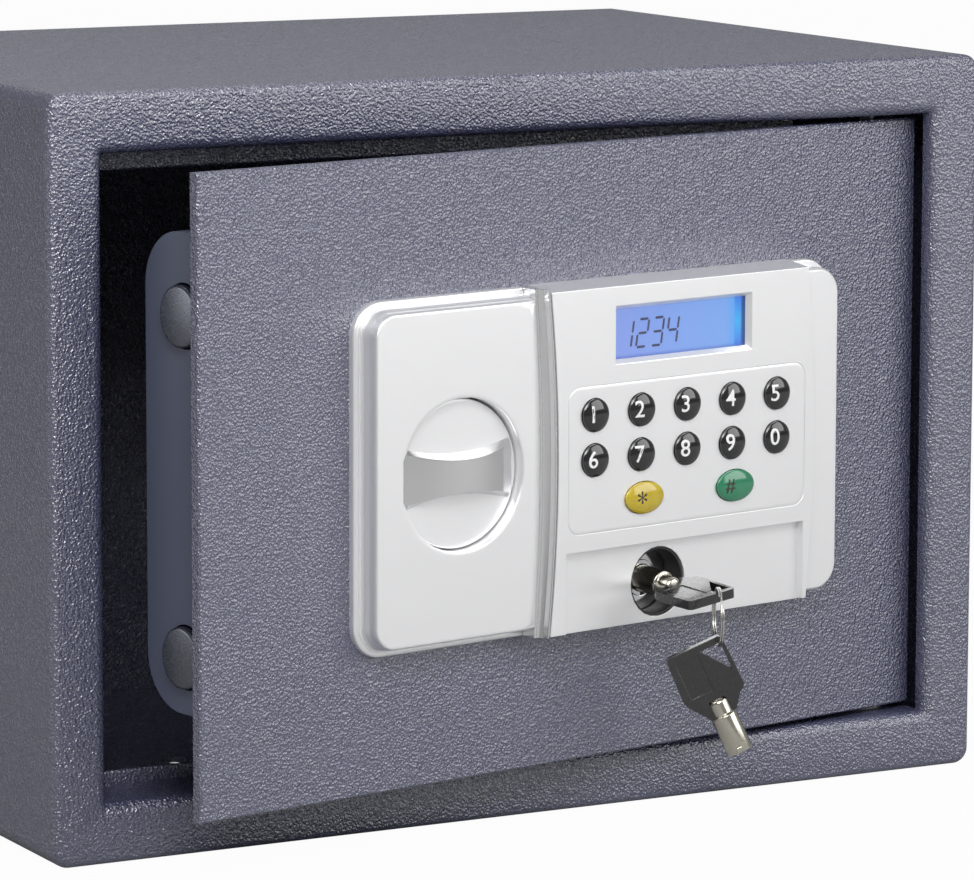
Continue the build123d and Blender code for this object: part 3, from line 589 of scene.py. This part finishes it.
def front_frame():
    """Rows of the folded sheet: outer skin, face, doorway return, then back along the inside."""
    skin = eased([(0, SKIN_BACK), (0, 0), (9, 0)], [FOLD_R])
    way = eased([(9, 0), (0, 0), (0, 6)], [DOORWAY_R])
    rows = [frame_rows(o, y, False) for o, y in skin]
    rows += [frame_rows(o, y, True) for o, y in way[1:]]
    rows += [frame_rows(0, jamb_depth(), True), frame_rows(SHEET, jamb_depth(), True)]
    back = eased([(SHEET, 6), (SHEET, SHEET), (9, SHEET)], [DOORWAY_R - SHEET])
    rows += [frame_rows(o, y, True) for o, y in back]
    rows += [frame_rows(SHEET, SHEET, False), frame_rows(SHEET, SKIN_BACK, False)]
    return np.stack(rows) * MM


shell = surface("frame_shell", front_frame(), close_rows=True)
finished(shell, "cabinet", TEXTURED, "textured_paint")


def plate_box(name, x0, x1, y0, y1, z0, z1, radius):
    """A small plate with eased edges: a rounded outline carried from back to front, drawn in at both rims."""
    rim = eased([(radius, y0), (0, y0), (0, y1), (radius, y1)], [radius * 0.98] * 2, 3)
    rows = []
    for inset, y in rim:
        path = rounded_path(x0 + inset, x1 - inset, z0 + inset, z1 - inset, radius - inset * 0.9, 3)
        rows.append(row_at(path, y))
    return surface(name, np.stack(rows) * MM, caps=(True, True))


LIP_FRONT = FRONT + SILL
for name, z0, z1 in (("sill_lip", DOOR_LOW - SHEET, DOOR_LOW + SILL_LIP),
                     ("head_lip", DOOR_HIGH - HEAD_LIP, DOOR_HIGH + SHEET)):
    lip = plate_box(name, LIP_LEFT, LIP_RIGHT, LIP_FRONT, LIP_FRONT + SHEET, z0, z1, LIP_R)
    finished(lip, "cabinet", TEXTURED, "textured_paint")
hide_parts("front_frame")
print("frame shell", len(shell.data.polygons), "faces")

# %% [markdown]
# The knob's side of the panel is a moulding with a low ledge, a fine groove and a wall that rises in two
# steps to the flat face. All of it is one profile carried round the outline, whose right edge bows gently
# and rolls over towards the divider. The last rows run in to the knob's well, each point along its own
# angle, and down its wall. A subdivided cage would blur the groove, which a profile keeps crisp.

# %% Knob escutcheon
ESC_LOW, ESC_HIGH = door_box("knob_escutcheon")
KNOB_LOW, KNOB_HIGH = door_box("turn_knob")
KNOB_U, KNOB_Z = node_middle("turn_knob")
ESC_BOW, HOUSING_BOW = 2.5, 3.5
HOUSING_LOW, HOUSING_HIGH = door_box("keypad_housing")
BOW_MID, BOW_HALF = (HOUSING_LOW[2] + HOUSING_HIGH[2]) / 2, (HOUSING_HIGH[2] - HOUSING_LOW[2]) / 2
ESC_RIGHT, COVE_RIGHT = -24.9, -20.9
WELL_R = 25.2
FACE_H, WELL_FLOOR = 9.95, 1.2
ROLL_REACH, ROLL_DROP, ROLL_WIDE = 6.0, 1.3, 2.6
PANEL_R = 11.0


def bowed(u, z):
    """u moved right by the bow: all of it at mid height, none at the ends, and more towards the housing."""
    share = (u - ESC_RIGHT) / (COVE_RIGHT - ESC_RIGHT)
    return u + (ESC_BOW + (HOUSING_BOW - ESC_BOW) * share) * (1 - ((z - BOW_MID) / BOW_HALF) ** 2)


def panel_outline(inset, radius, side=24, corner=10):
    """Points round the escutcheon: up the bowed right edge, over the top, round two corners and back."""
    u0, z0, z1 = ESC_LOW[0] + inset, ESC_LOW[2] + inset, ESC_HIGH[2] - inset
    radius = max(radius - inset, 0.3)
    zs = np.linspace(z0, z1, side)
    right = np.stack([bowed(ESC_RIGHT, zs), zs], 1)
    t = np.linspace(0, pi / 2, corner)[:, None]
    top_left = np.concatenate([u0 + radius - radius * np.sin(t), z1 - radius + radius * np.cos(t)], 1)
    low_left = np.concatenate([u0 + radius - radius * np.cos(t), z0 + radius - radius * np.sin(t)], 1)
    runs = np.array([0.012, 0.025, 0.04, 0.06, 0.09, 0.14, 0.25, 0.4, 0.6, 0.8])[:, None]
    over = right[-1] * (1 - runs) + top_left[0] * runs
    down = top_left[-1] * (1 - runs) + low_left[0] * runs
    back = low_left[-1] * runs[::-1] + right[0] * (1 - runs[::-1])
    return np.concatenate([right, over, top_left, down, low_left, back])


def escutcheon():
    """Grid of rim, roll and well. The roll's share is 1 less the gap over its reach, squared."""
    rim = eased([(0, 0), (0, 2.45), (1.45, 2.5), (1.7, 2.1), (1.95, 2.75), (2.45, 2.75), (2.55, 4.6),
                 (3.25, 6.3), (3.35, 8.6), (3.75, FACE_H), (4.8, FACE_H)],
                [0.9, 0.2, 0.1, 0.2, 0.3, 0.9, 0.7, 0.3, 0.7], 4)
    rows = [row_at(panel_outline(inset, PANEL_R), h) for inset, h in rim]
    gap = bowed(ESC_RIGHT, rows[-1][:, 2]) - rows[-1][:, 0]
    roll = np.clip(1 - gap / ROLL_REACH, 0, 1) ** 2
    for row in rows:
        row[:, 1] -= np.where(row[:, 1] > 8.0, roll * ROLL_DROP, 0)
    last = rows[-1]
    inward = np.stack([KNOB_U - last[:, 0], KNOB_Z - last[:, 2]], 1)
    inward /= np.linalg.norm(inward, axis=1)[:, None]
    for share, step in ((0.75, 0.2), (0.5, 0.4), (0.25, 0.6), (0.0, 0.8), (0.0, 1.8)):
        face = last.copy()
        face[:, 0] += inward[:, 0] * step - roll * ROLL_WIDE * (1 - share)
        face[:, 1] = FACE_H - ROLL_DROP * roll * share ** 2
        face[:, 2] += inward[:, 1] * step
        rows.append(face)
    angle = np.arctan2(face[:, 2] - KNOB_Z, face[:, 0] - KNOB_U)
    ways = np.stack([np.cos(angle), np.sin(angle)], 1)
    well = eased([(WELL_R + 1.5, FACE_H), (WELL_R, FACE_H), (WELL_R, WELL_FLOOR), (WELL_R - 3, WELL_FLOOR)],
                 [0.45, 0.3], 3)
    rows += [row_at((KNOB_U, KNOB_Z) + r * ways, h) for r, h in well]
    grid = np.stack(rows)
    return on_door(grid[..., 0], grid[..., 1], grid[..., 2])


piece = surface("knob_surround", escutcheon(), caps=(True, True))
finished(piece, "door", SILVER, "panel_plastic", "knob_escutcheon")
print("escutcheon", len(piece.data.polygons), "faces")

# %% [markdown]
# Between the two halves of the panel runs a hollow cove with a bright rounded edge. Its section is carried
# up the same bow. A bevelled curve would turn the section along the bow, and here it has to stay level, so
# that it meets both halves.

# %% Divider cove
COVE = eased([(-24.75, 0.2), (-24.75, 8.6), (-24.1, 8.7), (-23.2, 8.5), (-22.2, 10.2), (-21.8, 12.0),
              (-21.2, 12.35), (-21.15, 0.2)], [0.2, 0.4, 1.2, 1.6, 0.6, 0.25], 4)


def cove():
    """Grid of the section at forty heights, each moved right by the bow."""
    zs = np.linspace(ESC_LOW[2] + 0.2, ESC_HIGH[2] - 0.2, 40)[:, None]
    return on_door(bowed(COVE[:, 0][None], zs), COVE[:, 1][None], zs)


piece = surface("divider_cove", cove(), caps=(True, True))
finished(piece, "door", POLISHED, "bright_trim", "divider_strip")
print("divider", len(piece.data.polygons), "faces")

# %% [markdown]
# The knob is a disc sunk in the well with a grip across it. The grip is narrow in the middle and wide at
# its ends, and its face is rounded towards both ends. It is a grid over a rectangle: one way runs the
# length, the other goes up one side, across and down the other, and the height is the smaller of the two
# ways' rises. Cutting it out of a block would leave edges to round afterwards, and here they come with it.

# %% Turn knob
KNOB_R = (KNOB_HIGH[0] - KNOB_LOW[0]) / 2
DISC_H, GRIP_H, GRIP_DOME = 6.5, 12.2, 49.0
GRIP_WAIST, GRIP_FLARE, GRIP_DRAFT = 5.6, 9.2, 1.4
DISC_LOW, GRIP_BACK, GRIP_SUNK = 1.5, 0.8, 0.3


def edge_profile(count, ease, power=2.6):
    """From -1 to 1 and back down: where along, and how far risen, a rounded box section is at each step."""
    t = np.linspace(-1, 1, count)
    side = np.sign(t) * np.minimum(np.abs(t) / (1 - ease), 1)
    rise = np.clip((1 - np.abs(t)) / ease, 0, 1)
    turned = (1 - (1 - rise) ** power) ** (1 / power)
    return side * (1 - 0.035 * turned * (np.abs(side) > 0.995)), turned


def grip():
    """Grid of the grip: half width grows with the square of u, height is the dome times the lesser rise."""
    along, rise_u = edge_profile(61, 0.12)
    across, rise_v = edge_profile(41, 0.22)
    u0 = along[:, None] * (KNOB_R - GRIP_BACK)
    width = GRIP_WAIST + (GRIP_FLARE - GRIP_WAIST) * (u0 / KNOB_R) ** 2
    v = across[None, :] * (width + GRIP_DRAFT * (1 - rise_v[None, :]))
    u = along[:, None] * np.sqrt((KNOB_R - GRIP_BACK) ** 2 - v ** 2)
    top = GRIP_H - (GRIP_DOME - np.sqrt(GRIP_DOME ** 2 - u ** 2))
    foot = DISC_H - GRIP_SUNK
    h = foot + (top - foot) * np.minimum(rise_u[:, None], rise_v[None, :])
    return on_door(KNOB_U + u, h, KNOB_Z + v)


DISC_PROFILE = eased([(0.01, DISC_LOW), (KNOB_R, DISC_LOW), (KNOB_R, DISC_H), (KNOB_R - 1.4, DISC_H),
                      (0.01, DISC_H)], [0.4, 0.5, 0.01], 4)
disc = surface("knob_disc", lathe(KNOB_U, KNOB_Z, DISC_PROFILE, steps=96), caps=(True, True))
finished(disc, "knob", SILVER, "panel_plastic", "turn_knob")
finished(surface("knob_grip", grip(), close_cols=False), "knob", POLISHED, "bright_trim")
print("knob at", round(KNOB_U, 1), round(KNOB_Z, 1), "radius", round(KNOB_R, 1))

# %% [markdown]
# Solids whose shape is already right only need their edges eased, and modelling them again could spoil their
# fit. A copy is merged, its flat faces are made whole, and every sharp edge is bevelled with a small round.

# %% Eased copies of solids
def eased_copy(node, width):
    """A copy of a solid with sharp edges rounded to this width in millimetres, which stands for the solid."""
    work = bmesh.new()
    work.from_mesh(frame["nodes"][node].data)
    bmesh.ops.remove_doubles(work, verts=work.verts, dist=2e-6)
    bmesh.ops.dissolve_limit(work, angle_limit=radians(0.8), verts=work.verts, edges=work.edges)
    sharp = [e for e in work.edges if len(e.link_faces) == 2 and e.calc_face_angle(0) > radians(24)]
    bmesh.ops.bevel(work, geom=sharp, offset=width * MM, segments=3, profile=0.5, affect="EDGES",
                    clamp_overlap=True)
    bmesh.ops.recalc_face_normals(work, faces=work.faces)
    mesh = bpy.data.meshes.new(node + "_eased")
    work.to_mesh(mesh)
    work.free()
    made = linked(node + "_eased", smoothed(mesh))
    weights = made.modifiers.new("flat faces stay flat", "WEIGHTED_NORMAL")
    weights.keep_sharp = True
    return finished(made, BODY_OF[node], BY_SLOT[SLOT_OF[node]], SLOT_OF[node], node)


for node, width in (("keypad_housing", 1.0), ("key_bow", 0.5), ("spare_key_bow", 0.5), ("battery_cover", 0.3),
                    ("bolt_guide_lower", 0.6), ("bolt_guide_upper", 0.6), ("mechanism_cover", 0.35)):
    eased_copy(node, width)
    print(node, "eased by", width)

# %% [markdown]
# The keypad plate is a thin rounded plate with twelve holes, cut with one Boolean of twelve punches, because
# a grid that went round each of them would be far longer to write. The buttons are domes turned from a
# profile, round for the digits and oval for the two that end an entry.
# Their figures are text made a mesh, then bent onto the dome.

# %% Keypad
PAD_LOW, PAD_HIGH = door_box("keypad_plate")
DIGITS = "1234567890"
BUTTON_GAP = 0.22
ROUND_R, DOME_RISE, OVAL_A, OVAL_B = 5.5, 2.3, 8.1, 5.35
PAD_R, PAD_HAIR, INK_H = 4.8, 0.17, 0.04
PUNCH_SIDES = 64


def keypad_plate():
    """The plate's rounded outline carried from back to front, less twelve straight punches."""
    rim = eased([(3, PAD_LOW[1]), (-PAD_HAIR, PAD_LOW[1]), (-PAD_HAIR, PAD_HIGH[1]), (1, PAD_HIGH[1])],
                [0.1, 0.18], 3)
    rows = []
    for inset, h in rim:
        path = rounded_path(PAD_LOW[0] + inset, PAD_HIGH[0] - inset, PAD_LOW[2] + inset, PAD_HIGH[2] - inset,
                            PAD_R - inset, 8)
        rows.append(row_at(path, h))
    grid = np.stack(rows)
    plate = surface("keypad_face", on_door(grid[..., 0], grid[..., 1], grid[..., 2]), caps=(True, True))
    punches, faces, count = [], [], 0
    ovals = [(name, OVAL_A, OVAL_B) for name in ("star", "hash")]
    for name, a, b in [(digit, ROUND_R, ROUND_R) for digit in DIGITS] + ovals:
        u, z = node_middle("button_" + name)
        punch = lathe(u, z, [(1, PAD_LOW[1] - 1), (1, PAD_HIGH[1] + 1)], a + BUTTON_GAP, b + BUTTON_GAP,
                      PUNCH_SIDES)
        faces += grid_faces(2, PUNCH_SIDES, False, True, (True, True), first=count)
        punches.append(punch.reshape(-1, 3))
        count += 2 * PUNCH_SIDES
    tool = built("punches", np.concatenate(punches), faces)
    cut = plate.modifiers.new("holes", "BOOLEAN")
    cut.operation, cut.solver, cut.object = "DIFFERENCE", "EXACT", tool
    return settled(plate, tool)


def evaluated_mesh(made):
    """A new mesh of an object as its modifiers or its text settings leave it."""
    return bpy.data.meshes.new_from_object(made.evaluated_get(bpy.context.evaluated_depsgraph_get()))


def settled(made, *tools):
    """Takes a piece's modifiers into its mesh and removes what they used."""
    mesh = evaluated_mesh(made)
    made.modifiers.clear()
    made.data = smoothed(mesh)
    for tool in tools:
        bpy.data.objects.remove(tool)
    return made


finished(keypad_plate(), "door", SILVER, "panel_plastic", "keypad_plate")


def dome_height(du, dz, a, b):
    """Height of a dome, du and dz from its middle: a flat ball cap, stretched to the half axes a and b."""
    reach = np.clip((du / a) ** 2 + (dz / b) ** 2, 0, 1)
    return PAD_HIGH[1] + DOME_RISE * (0.18 + 0.82 * np.sqrt(1 - 0.93 * reach))


def button(name, a, b):
    """Dome turned from the ball cap's profile, with a short wall below it, a wide and b high."""
    u, z = node_middle("button_" + name)
    share = np.sin(np.linspace(0.02, 1, 14) * pi / 2)
    crown = [(s, dome_height(s * a, 0, a, b)) for s in share]
    profile = np.array(crown + [(1.0, PAD_HIGH[1] - 0.6), (1.0, PAD_HIGH[1] - 3.0)])
    return surface("dome_" + name, lathe(u, z, profile, a, b, 48), caps=(True, True))


def figure(name, text, size, a, b, weight, shift=(0, 0)):
    """Text made a mesh, cut finely and laid on the dome: its own z adds to the dome's height."""
    curve = bpy.data.curves.new(name, "FONT")
    curve.body, curve.size, curve.align_x, curve.align_y = text, size, "CENTER", "CENTER"
    curve.extrude, curve.offset = 0.05, weight
    drawn = linked(name, curve)
    mesh = evaluated_mesh(drawn)
    bpy.data.objects.remove(drawn)
    work = bmesh.new()
    work.from_mesh(mesh)
    bmesh.ops.remove_doubles(work, verts=work.verts, dist=1e-4)
    bmesh.ops.triangulate(work, faces=work.faces)
    bmesh.ops.subdivide_edges(work, edges=work.edges, cuts=2)
    work.to_mesh(mesh)
    work.free()
    x, y, depth = mesh_points(mesh).T
    u, z = node_middle("button_" + name.split("_")[-1])
    x, y = x + shift[0], y + shift[1]
    h = dome_height(x, y, a, b) + INK_H + depth
    mesh.vertices.foreach_set("co", on_door(u + x, h, z + y).ravel())
    return linked(name, mesh)


for digit in DIGITS:
    body, slot = "key_" + digit, "black_button"
    finished(button(digit, ROUND_R, ROUND_R), body, BLACK_BUTTON, slot, "button_" + digit)
    drawn = figure("figure_" + digit, digit, 7.9, ROUND_R, ROUND_R, 0.05, (-2.2, 0.2))
    finished(drawn, body, WHITE_INK, slot)
for name, text, finish, slot, size, shift in (
        ("star", "*", YELLOW_BUTTON, "yellow_button", 9.4, (-2.3, -1.5)),
        ("hash", "#", GREEN_BUTTON, "green_button", 6.6, (-3.4, 0.4))):
    finished(button(name, OVAL_A, OVAL_B), "key_" + name, finish, slot, "button_" + name)
    finished(figure("figure_" + name, text, size, OVAL_A, OVAL_B, 0.03, shift), "key_" + name, DARK_INK, slot)
print("keypad", np.round(PAD_LOW, 1), np.round(PAD_HIGH, 1))

# %% [markdown]
# The lit window shows four plain seven-segment digits. Each segment is a slim six-sided plate that leans
# with the figure, laid on the display's face just behind the pane.

# %% Display segments
SEGMENTS = {"1": "bc", "2": "abged", "3": "abgcd", "4": "fgbc"}
SEGMENT_AT = {"a": (0, 2, 1), "g": (0, 0, 1), "d": (0, -2, 1), "f": (-1, 1, 0), "b": (1, 1, 0),
              "e": (-1, -1, 0), "c": (1, -1, 0)}
LEAN = 0.16
DISPLAY_TOP = door_box("display_module")[1][1]


def segments(first_u, mid_z, pitch, wide, tall, thick=0.42):
    """Six-sided plates: across for a, g and d, upright for the rest, all sheared by the figure's lean."""
    bars = []
    for place, digit in enumerate("1234"):
        for letter in SEGMENTS[digit]:
            side, level, flat = SEGMENT_AT[letter]
            reach = (wide if flat else tall / 2) / 2 - 0.25
            long = np.array([-reach, -reach + thick, reach - thick, reach, reach - thick, -reach + thick])
            cross = np.array([0, thick, thick, 0, -thick, -thick])
            x, z = (long, cross) if flat else (cross, long)
            x, z = x + side * wide / 2, z + level * tall / 4
            bars.append(np.stack([first_u + place * pitch + x + LEAN * z, mid_z + z], 1))
    outline = np.stack(bars)
    points = np.stack([on_door(outline[..., 0], DISPLAY_TOP + h, outline[..., 1]) for h in (-0.05, 0.03)], 1)
    faces = [face for k in range(len(bars))
             for face in grid_faces(2, 6, False, True, (True, True), first=12 * k)]
    return built("display_digits", points, faces, smooth=False)


digits = segments(first_u=14.2, mid_z=164.8, pitch=6.6, wide=4.3, tall=9.2)
finished(digits, "door", SEGMENT, "display")
print("display digits", len(digits.data.polygons), "faces")

# %% [markdown]
# The key is a tube with a small guide nib, and its narrowed end is pressed into a black moulded grip. Tube
# and neck are one profile turned about the key's own line. The inserted key and its twin share it, each in
# its own place.

# %% Key stems
LOCK_U, LOCK_Z = 28.3, 80.5
KEY_TILT, KEY_DROOP, KEY_LENGTH, KEY_IN, PLUG_H = radians(6.6), radians(3.3), 38.7, 2.3, 1.0
RING_R, WIRE_R, RING_TURN, SPARE_LEAN = 9.6, 0.36, radians(33.0), radians(24.5)
PLATE_MM = PLATE_Y / MM


def key_axes(width, line):
    """Three axes of a key: x as near as can be to a wished direction, y along the key, z square to both."""
    line = line / np.linalg.norm(line)
    width = width - line * (width @ line)
    width = width / np.linalg.norm(width)
    return np.stack([width, line, np.cross(width, line)])


def ajar(shut):
    """Points of the shut door, x, y and z in millimetres, made metres with the door ajar."""
    return on_door(shut[..., 0], PLATE_MM - shut[..., 1], shut[..., 2])


LINE = np.array([0.0, -cos(KEY_DROOP), -sin(KEY_DROOP)])
TIP = np.array([LOCK_U, PLATE_MM - PLUG_H, LOCK_Z]) - LINE * KEY_IN
KEY_AXES = key_axes(np.array([cos(KEY_TILT), 0.0, sin(KEY_TILT)]), LINE)
IN_RING = np.array([-sin(RING_TURN), -cos(RING_TURN), 0.0])
ACROSS = np.array([cos(RING_TURN), -sin(RING_TURN), 0.0])
UP = np.array([0.0, 0.0, 1.0])
spare_swing = next(j for j in frame["joints"] if j["name"] == "spare_swing")
wire = turn(np.array(spare_swing["pos_m"]), -AJAR) / MM
SPARE_X = ACROSS * cos(SPARE_LEAN) + UP * sin(SPARE_LEAN)
SPARE_Y = UP * cos(SPARE_LEAN) - ACROSS * sin(SPARE_LEAN)
SPARE_HANGS = (7.8, KEY_LENGTH - 3.3)
SPARE_AT = wire - SPARE_X * SPARE_HANGS[0] - SPARE_Y * SPARE_HANGS[1]
SPARE_AXES = key_axes(SPARE_X, SPARE_Y)


def key_stem(name, origin, axes):
    """A tube turned from a profile of radius against length, with its nib, laid along the key's axes."""
    profile = eased([(0.01, 9.0), (3.4, 9.0), (3.4, 0), (4.5, 0), (4.5, 13.7), (3.35, 13.9), (3.35, 19.4),
                     (0.01, 19.4)], [0.3, 0.35, 0.4, 0.5, 0.3, 1.6], 4)
    turns = circle(64)
    radius, length = profile[:, :1], profile[:, 1:]
    grid = np.stack([radius * np.cos(turns), length + 0 * turns, radius * np.sin(turns)], -1)
    rim = eased([(0.5, 4.0), (0.5, 5.3), (2.3, 5.3), (2.3, 4.0)], [0.3, 0.3], 3)
    nib = np.stack([np.column_stack([np.full(len(rim), x), rim[:, 0], rim[:, 1]]) for x in (-0.8, 0.8)])
    points = np.concatenate([grid.reshape(-1, 3), nib.reshape(-1, 3)])
    faces = grid_faces(*grid.shape[:2], False, True, (True, True))
    faces += grid_faces(*nib.shape[:2], False, True, (True, True), first=grid.shape[0] * grid.shape[1])
    return built(name, ajar(origin + points @ axes), faces)


finished(key_stem("stem", TIP, KEY_AXES), "lock_key", NICKEL, "key_nickel", "key_stem")
finished(key_stem("spare_stem", SPARE_AT, SPARE_AXES), "spare_key", NICKEL, "key_nickel", "spare_key_stem")
print("tips of key and twin at", np.round(TIP, 1), np.round(SPARE_AT, 1))

# %% [markdown]
# The split ring is one spring wire wound twice, its coils side by side. The wire crosses from one coil to
# the other over a short stretch, as a real ring does. A curve with a round bevel could be the wire, but the
# grid says at each point which way it stands off.

# %% Split ring
def split_ring():
    """Tube along two turns, whose middle stands off by the wire's radius, first one way, then the other."""
    t = np.linspace(0.25, 4 * pi - 0.25, 260)[:, None]
    cross = np.clip((t - 2 * pi + 0.5) / 1.0, 0, 1)
    offset = WIRE_R * (2 * (3 * cross ** 2 - 2 * cross ** 3) - 1)
    around = circle(14)[None]
    radius = RING_R + WIRE_R * 0.97 * np.cos(around)
    side = offset + WIRE_R * 0.97 * np.sin(around)
    centre = wire + UP * RING_R
    start = radians(40)
    shut = centre + (radius * np.cos(t + start))[..., None] * IN_RING
    shut = shut + (radius * np.sin(t + start))[..., None] * UP
    shut = shut + side[..., None] * ACROSS
    return surface("ring_wire", ajar(shut), caps=(True, True))


finished(split_ring(), "ring", WIRE, "ring_steel", "split_ring")
print("ring", 2 * (RING_R + WIRE_R), "across")

# %% [markdown]
# The lock sits at the bottom of its hole in the panel: a bright flange with a plug in it, and round them a black
# lining of the hole's wall, which is painted shade. The bolts are plain rods with an eased nose. All are turned
# from profiles, as on a real lathe, because that gives each of them its true round and its eased rims at once.

# %% Lock and bolts
def turned_along(name, start, line, profile, steps=72):
    """A profile of radius against length turned about a line that begins at a point of the shut door."""
    line = np.array(line, float)
    side = np.cross(line, UP if abs(line[2]) < 0.5 else np.array([1.0, 0, 0]))
    other = np.cross(line, side)
    turns = circle(steps)
    profile = np.asarray(profile, float)
    radius, length = profile[:, :1, None], profile[:, 1:, None]
    arm = np.cos(turns)[:, None] * side + np.sin(turns)[:, None] * other
    shut = np.array(start, float) + radius * arm + (length + 0 * turns[:, None]) * line
    return surface(name, ajar(shut), caps=(True, True))


LOCK_AT = (LOCK_U, PLATE_MM, LOCK_Z)
barrel = eased([(6.05, -24), (9.0, -24), (9.0, 0), (10.7, 0), (10.7, 0.6), (6.05, 0.6), (6.05, -23.9)],
               [0.5, 0.1, 0.1, 0.2, 0.2])
piece = turned_along("lock_barrel", LOCK_AT, (0, -1, 0), barrel)
finished(piece, "door", CHROME, "lock_chrome")
# Painted shade: this thin black ring over the hole's wall is not a part of the lock, only the hole's dark.
shade_lining = eased([(11.6, 0), (11.6, 8.8), (10.85, 8.8), (10.85, 0), (11.6, 0)], [0.2, 0.2, 0.05])
finished(turned_along("lock_shade_lining", LOCK_AT, (0, -1, 0), shade_lining), "door", BLACK, "lock_chrome")
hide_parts("lock_body")

BOLT_NOSE, BOLT_BACK = -150.6, 15.0
for name, z in (("bolt_lower", 72.5), ("bolt_upper", 181.5)):
    rod = eased([(0.01, 0), (10, 0), (10, 46), (4, 46), (4, 53), (0.01, 53)], [1.0, 0.4, 0.2, 0.4])
    made = turned_along(name + "_rod", (BOLT_NOSE, PLATE_MM + BOLT_BACK, z), (1, 0, 0), rod, 96)
    finished(made, "boltwork", STEEL, "bright_steel", name)
print("lock at", LOCK_U, LOCK_Z)

# %% [markdown]
# Four small pan head screws hold the cover's flanges to the door. Each is a turned head with a round socket
# in it.

# %% Cover screws
SCREWS_AT = ((-118, 49.4), (92, 49.4), (-118, 212.6), (92, 212.6))
FLANGE_BACK = 5.15
for k, (u, z) in enumerate(SCREWS_AT):
    head = eased([(3.6, 0), (3.6, 1.2), (0.9, 2.2), (0.9, 1.2), (0.01, 1.2)], [0.9, 0.3, 0.1])
    made = turned_along(f"cover_screw_{k + 1}", (u, PLATE_MM + FLANGE_BACK, z), (0, 1, 0), head, 40)
    finished(made, "door", ZINC, "zinc_plate")
print("screws", len(SCREWS_AT))

# %% [markdown]
# The safe stands on a plain pale floor. The light is soft and comes from large lamps, so that the paint
# keeps its own colour and the roundings shine. For the camera alone the floor is lifted towards white, as
# on a studio sweep.

# %% Floor, lamps and world
def floor():
    """One wide sheet just under the safe, whose shader is mixed with plain white for camera rays."""
    corners = np.array([[(x, y, -0.0004) for x in (-9.0, 9.0)] for y in (-5.0, 14.0)])
    sheet = surface("floor", corners, close_cols=False)
    made = Finish("studio floor", Roughness=0.9)
    made.set(Base_Color=made.mix(made.noise(900, 2.0) * 0.1, (0.42, 0.42, 0.42), (0.40, 0.40, 0.405)))
    tree = made.tree
    bright = tree.nodes.new("ShaderNodeEmission")
    seen = tree.nodes.new("ShaderNodeLightPath")
    both = tree.nodes.new("ShaderNodeMixShader")
    share = Mark(tree, seen.outputs["Is Camera Ray"]) * 0.97
    tree.links.new(share.socket, both.inputs[0])
    tree.links.new(made.shader.outputs[0], both.inputs[1])
    tree.links.new(bright.outputs[0], both.inputs[2])
    tree.links.new(both.outputs[0], next(n for n in tree.nodes if n.type == "OUTPUT_MATERIAL").inputs[0])
    sheet.data.materials.append(made.material)


def lamp(name, place, target, size, power):
    """A square soft lamp that faces a point of the safe."""
    light = bpy.data.lights.new(name, "AREA")
    light.shape, light.size, light.energy = "SQUARE", size, power
    made = linked(name, light)
    made.location = place
    made.rotation_euler = (Vector(target) - Vector(place)).to_track_quat("-Z", "Y").to_euler()


floor()
MIDDLE = (0.0, -0.1, 0.12)
lamp("card", (0.90, -0.95, 0.66), (0.0, -0.15, 0.12), 1.0, 8.5)
lamp("key", (-0.5, -2.0, 2.0), MIDDLE, 1.3, 16)
lamp("near", (-0.42, -0.80, 0.72), (-0.16, -0.17, 0.20), 0.4, 5.0)
lamp("edge", (-1.6, 0.75, 0.3), MIDDLE, 0.6, 2.5)
lamp("top", (0.3, 0.9, 1.8), MIDDLE, 1.4, 10)

world = bpy.data.worlds.new("studio")
world.use_nodes = True
bpy.context.scene.world = world
tree = world.node_tree
shade = next(n for n in tree.nodes if n.type == "BACKGROUND")
path = tree.nodes.new("ShaderNodeLightPath")
through = Mark(tree, path.outputs["Is Transmission Ray"])
seen = Mark(tree, path.outputs["Is Camera Ray"]).math("MAXIMUM", through)
plug(tree, shade.inputs["Color"], (1.0, 1.0, 1.0))
plug(tree, shade.inputs["Strength"], 0.26 + 0.74 * seen)
bpy.context.scene.view_settings.view_transform = "Standard"
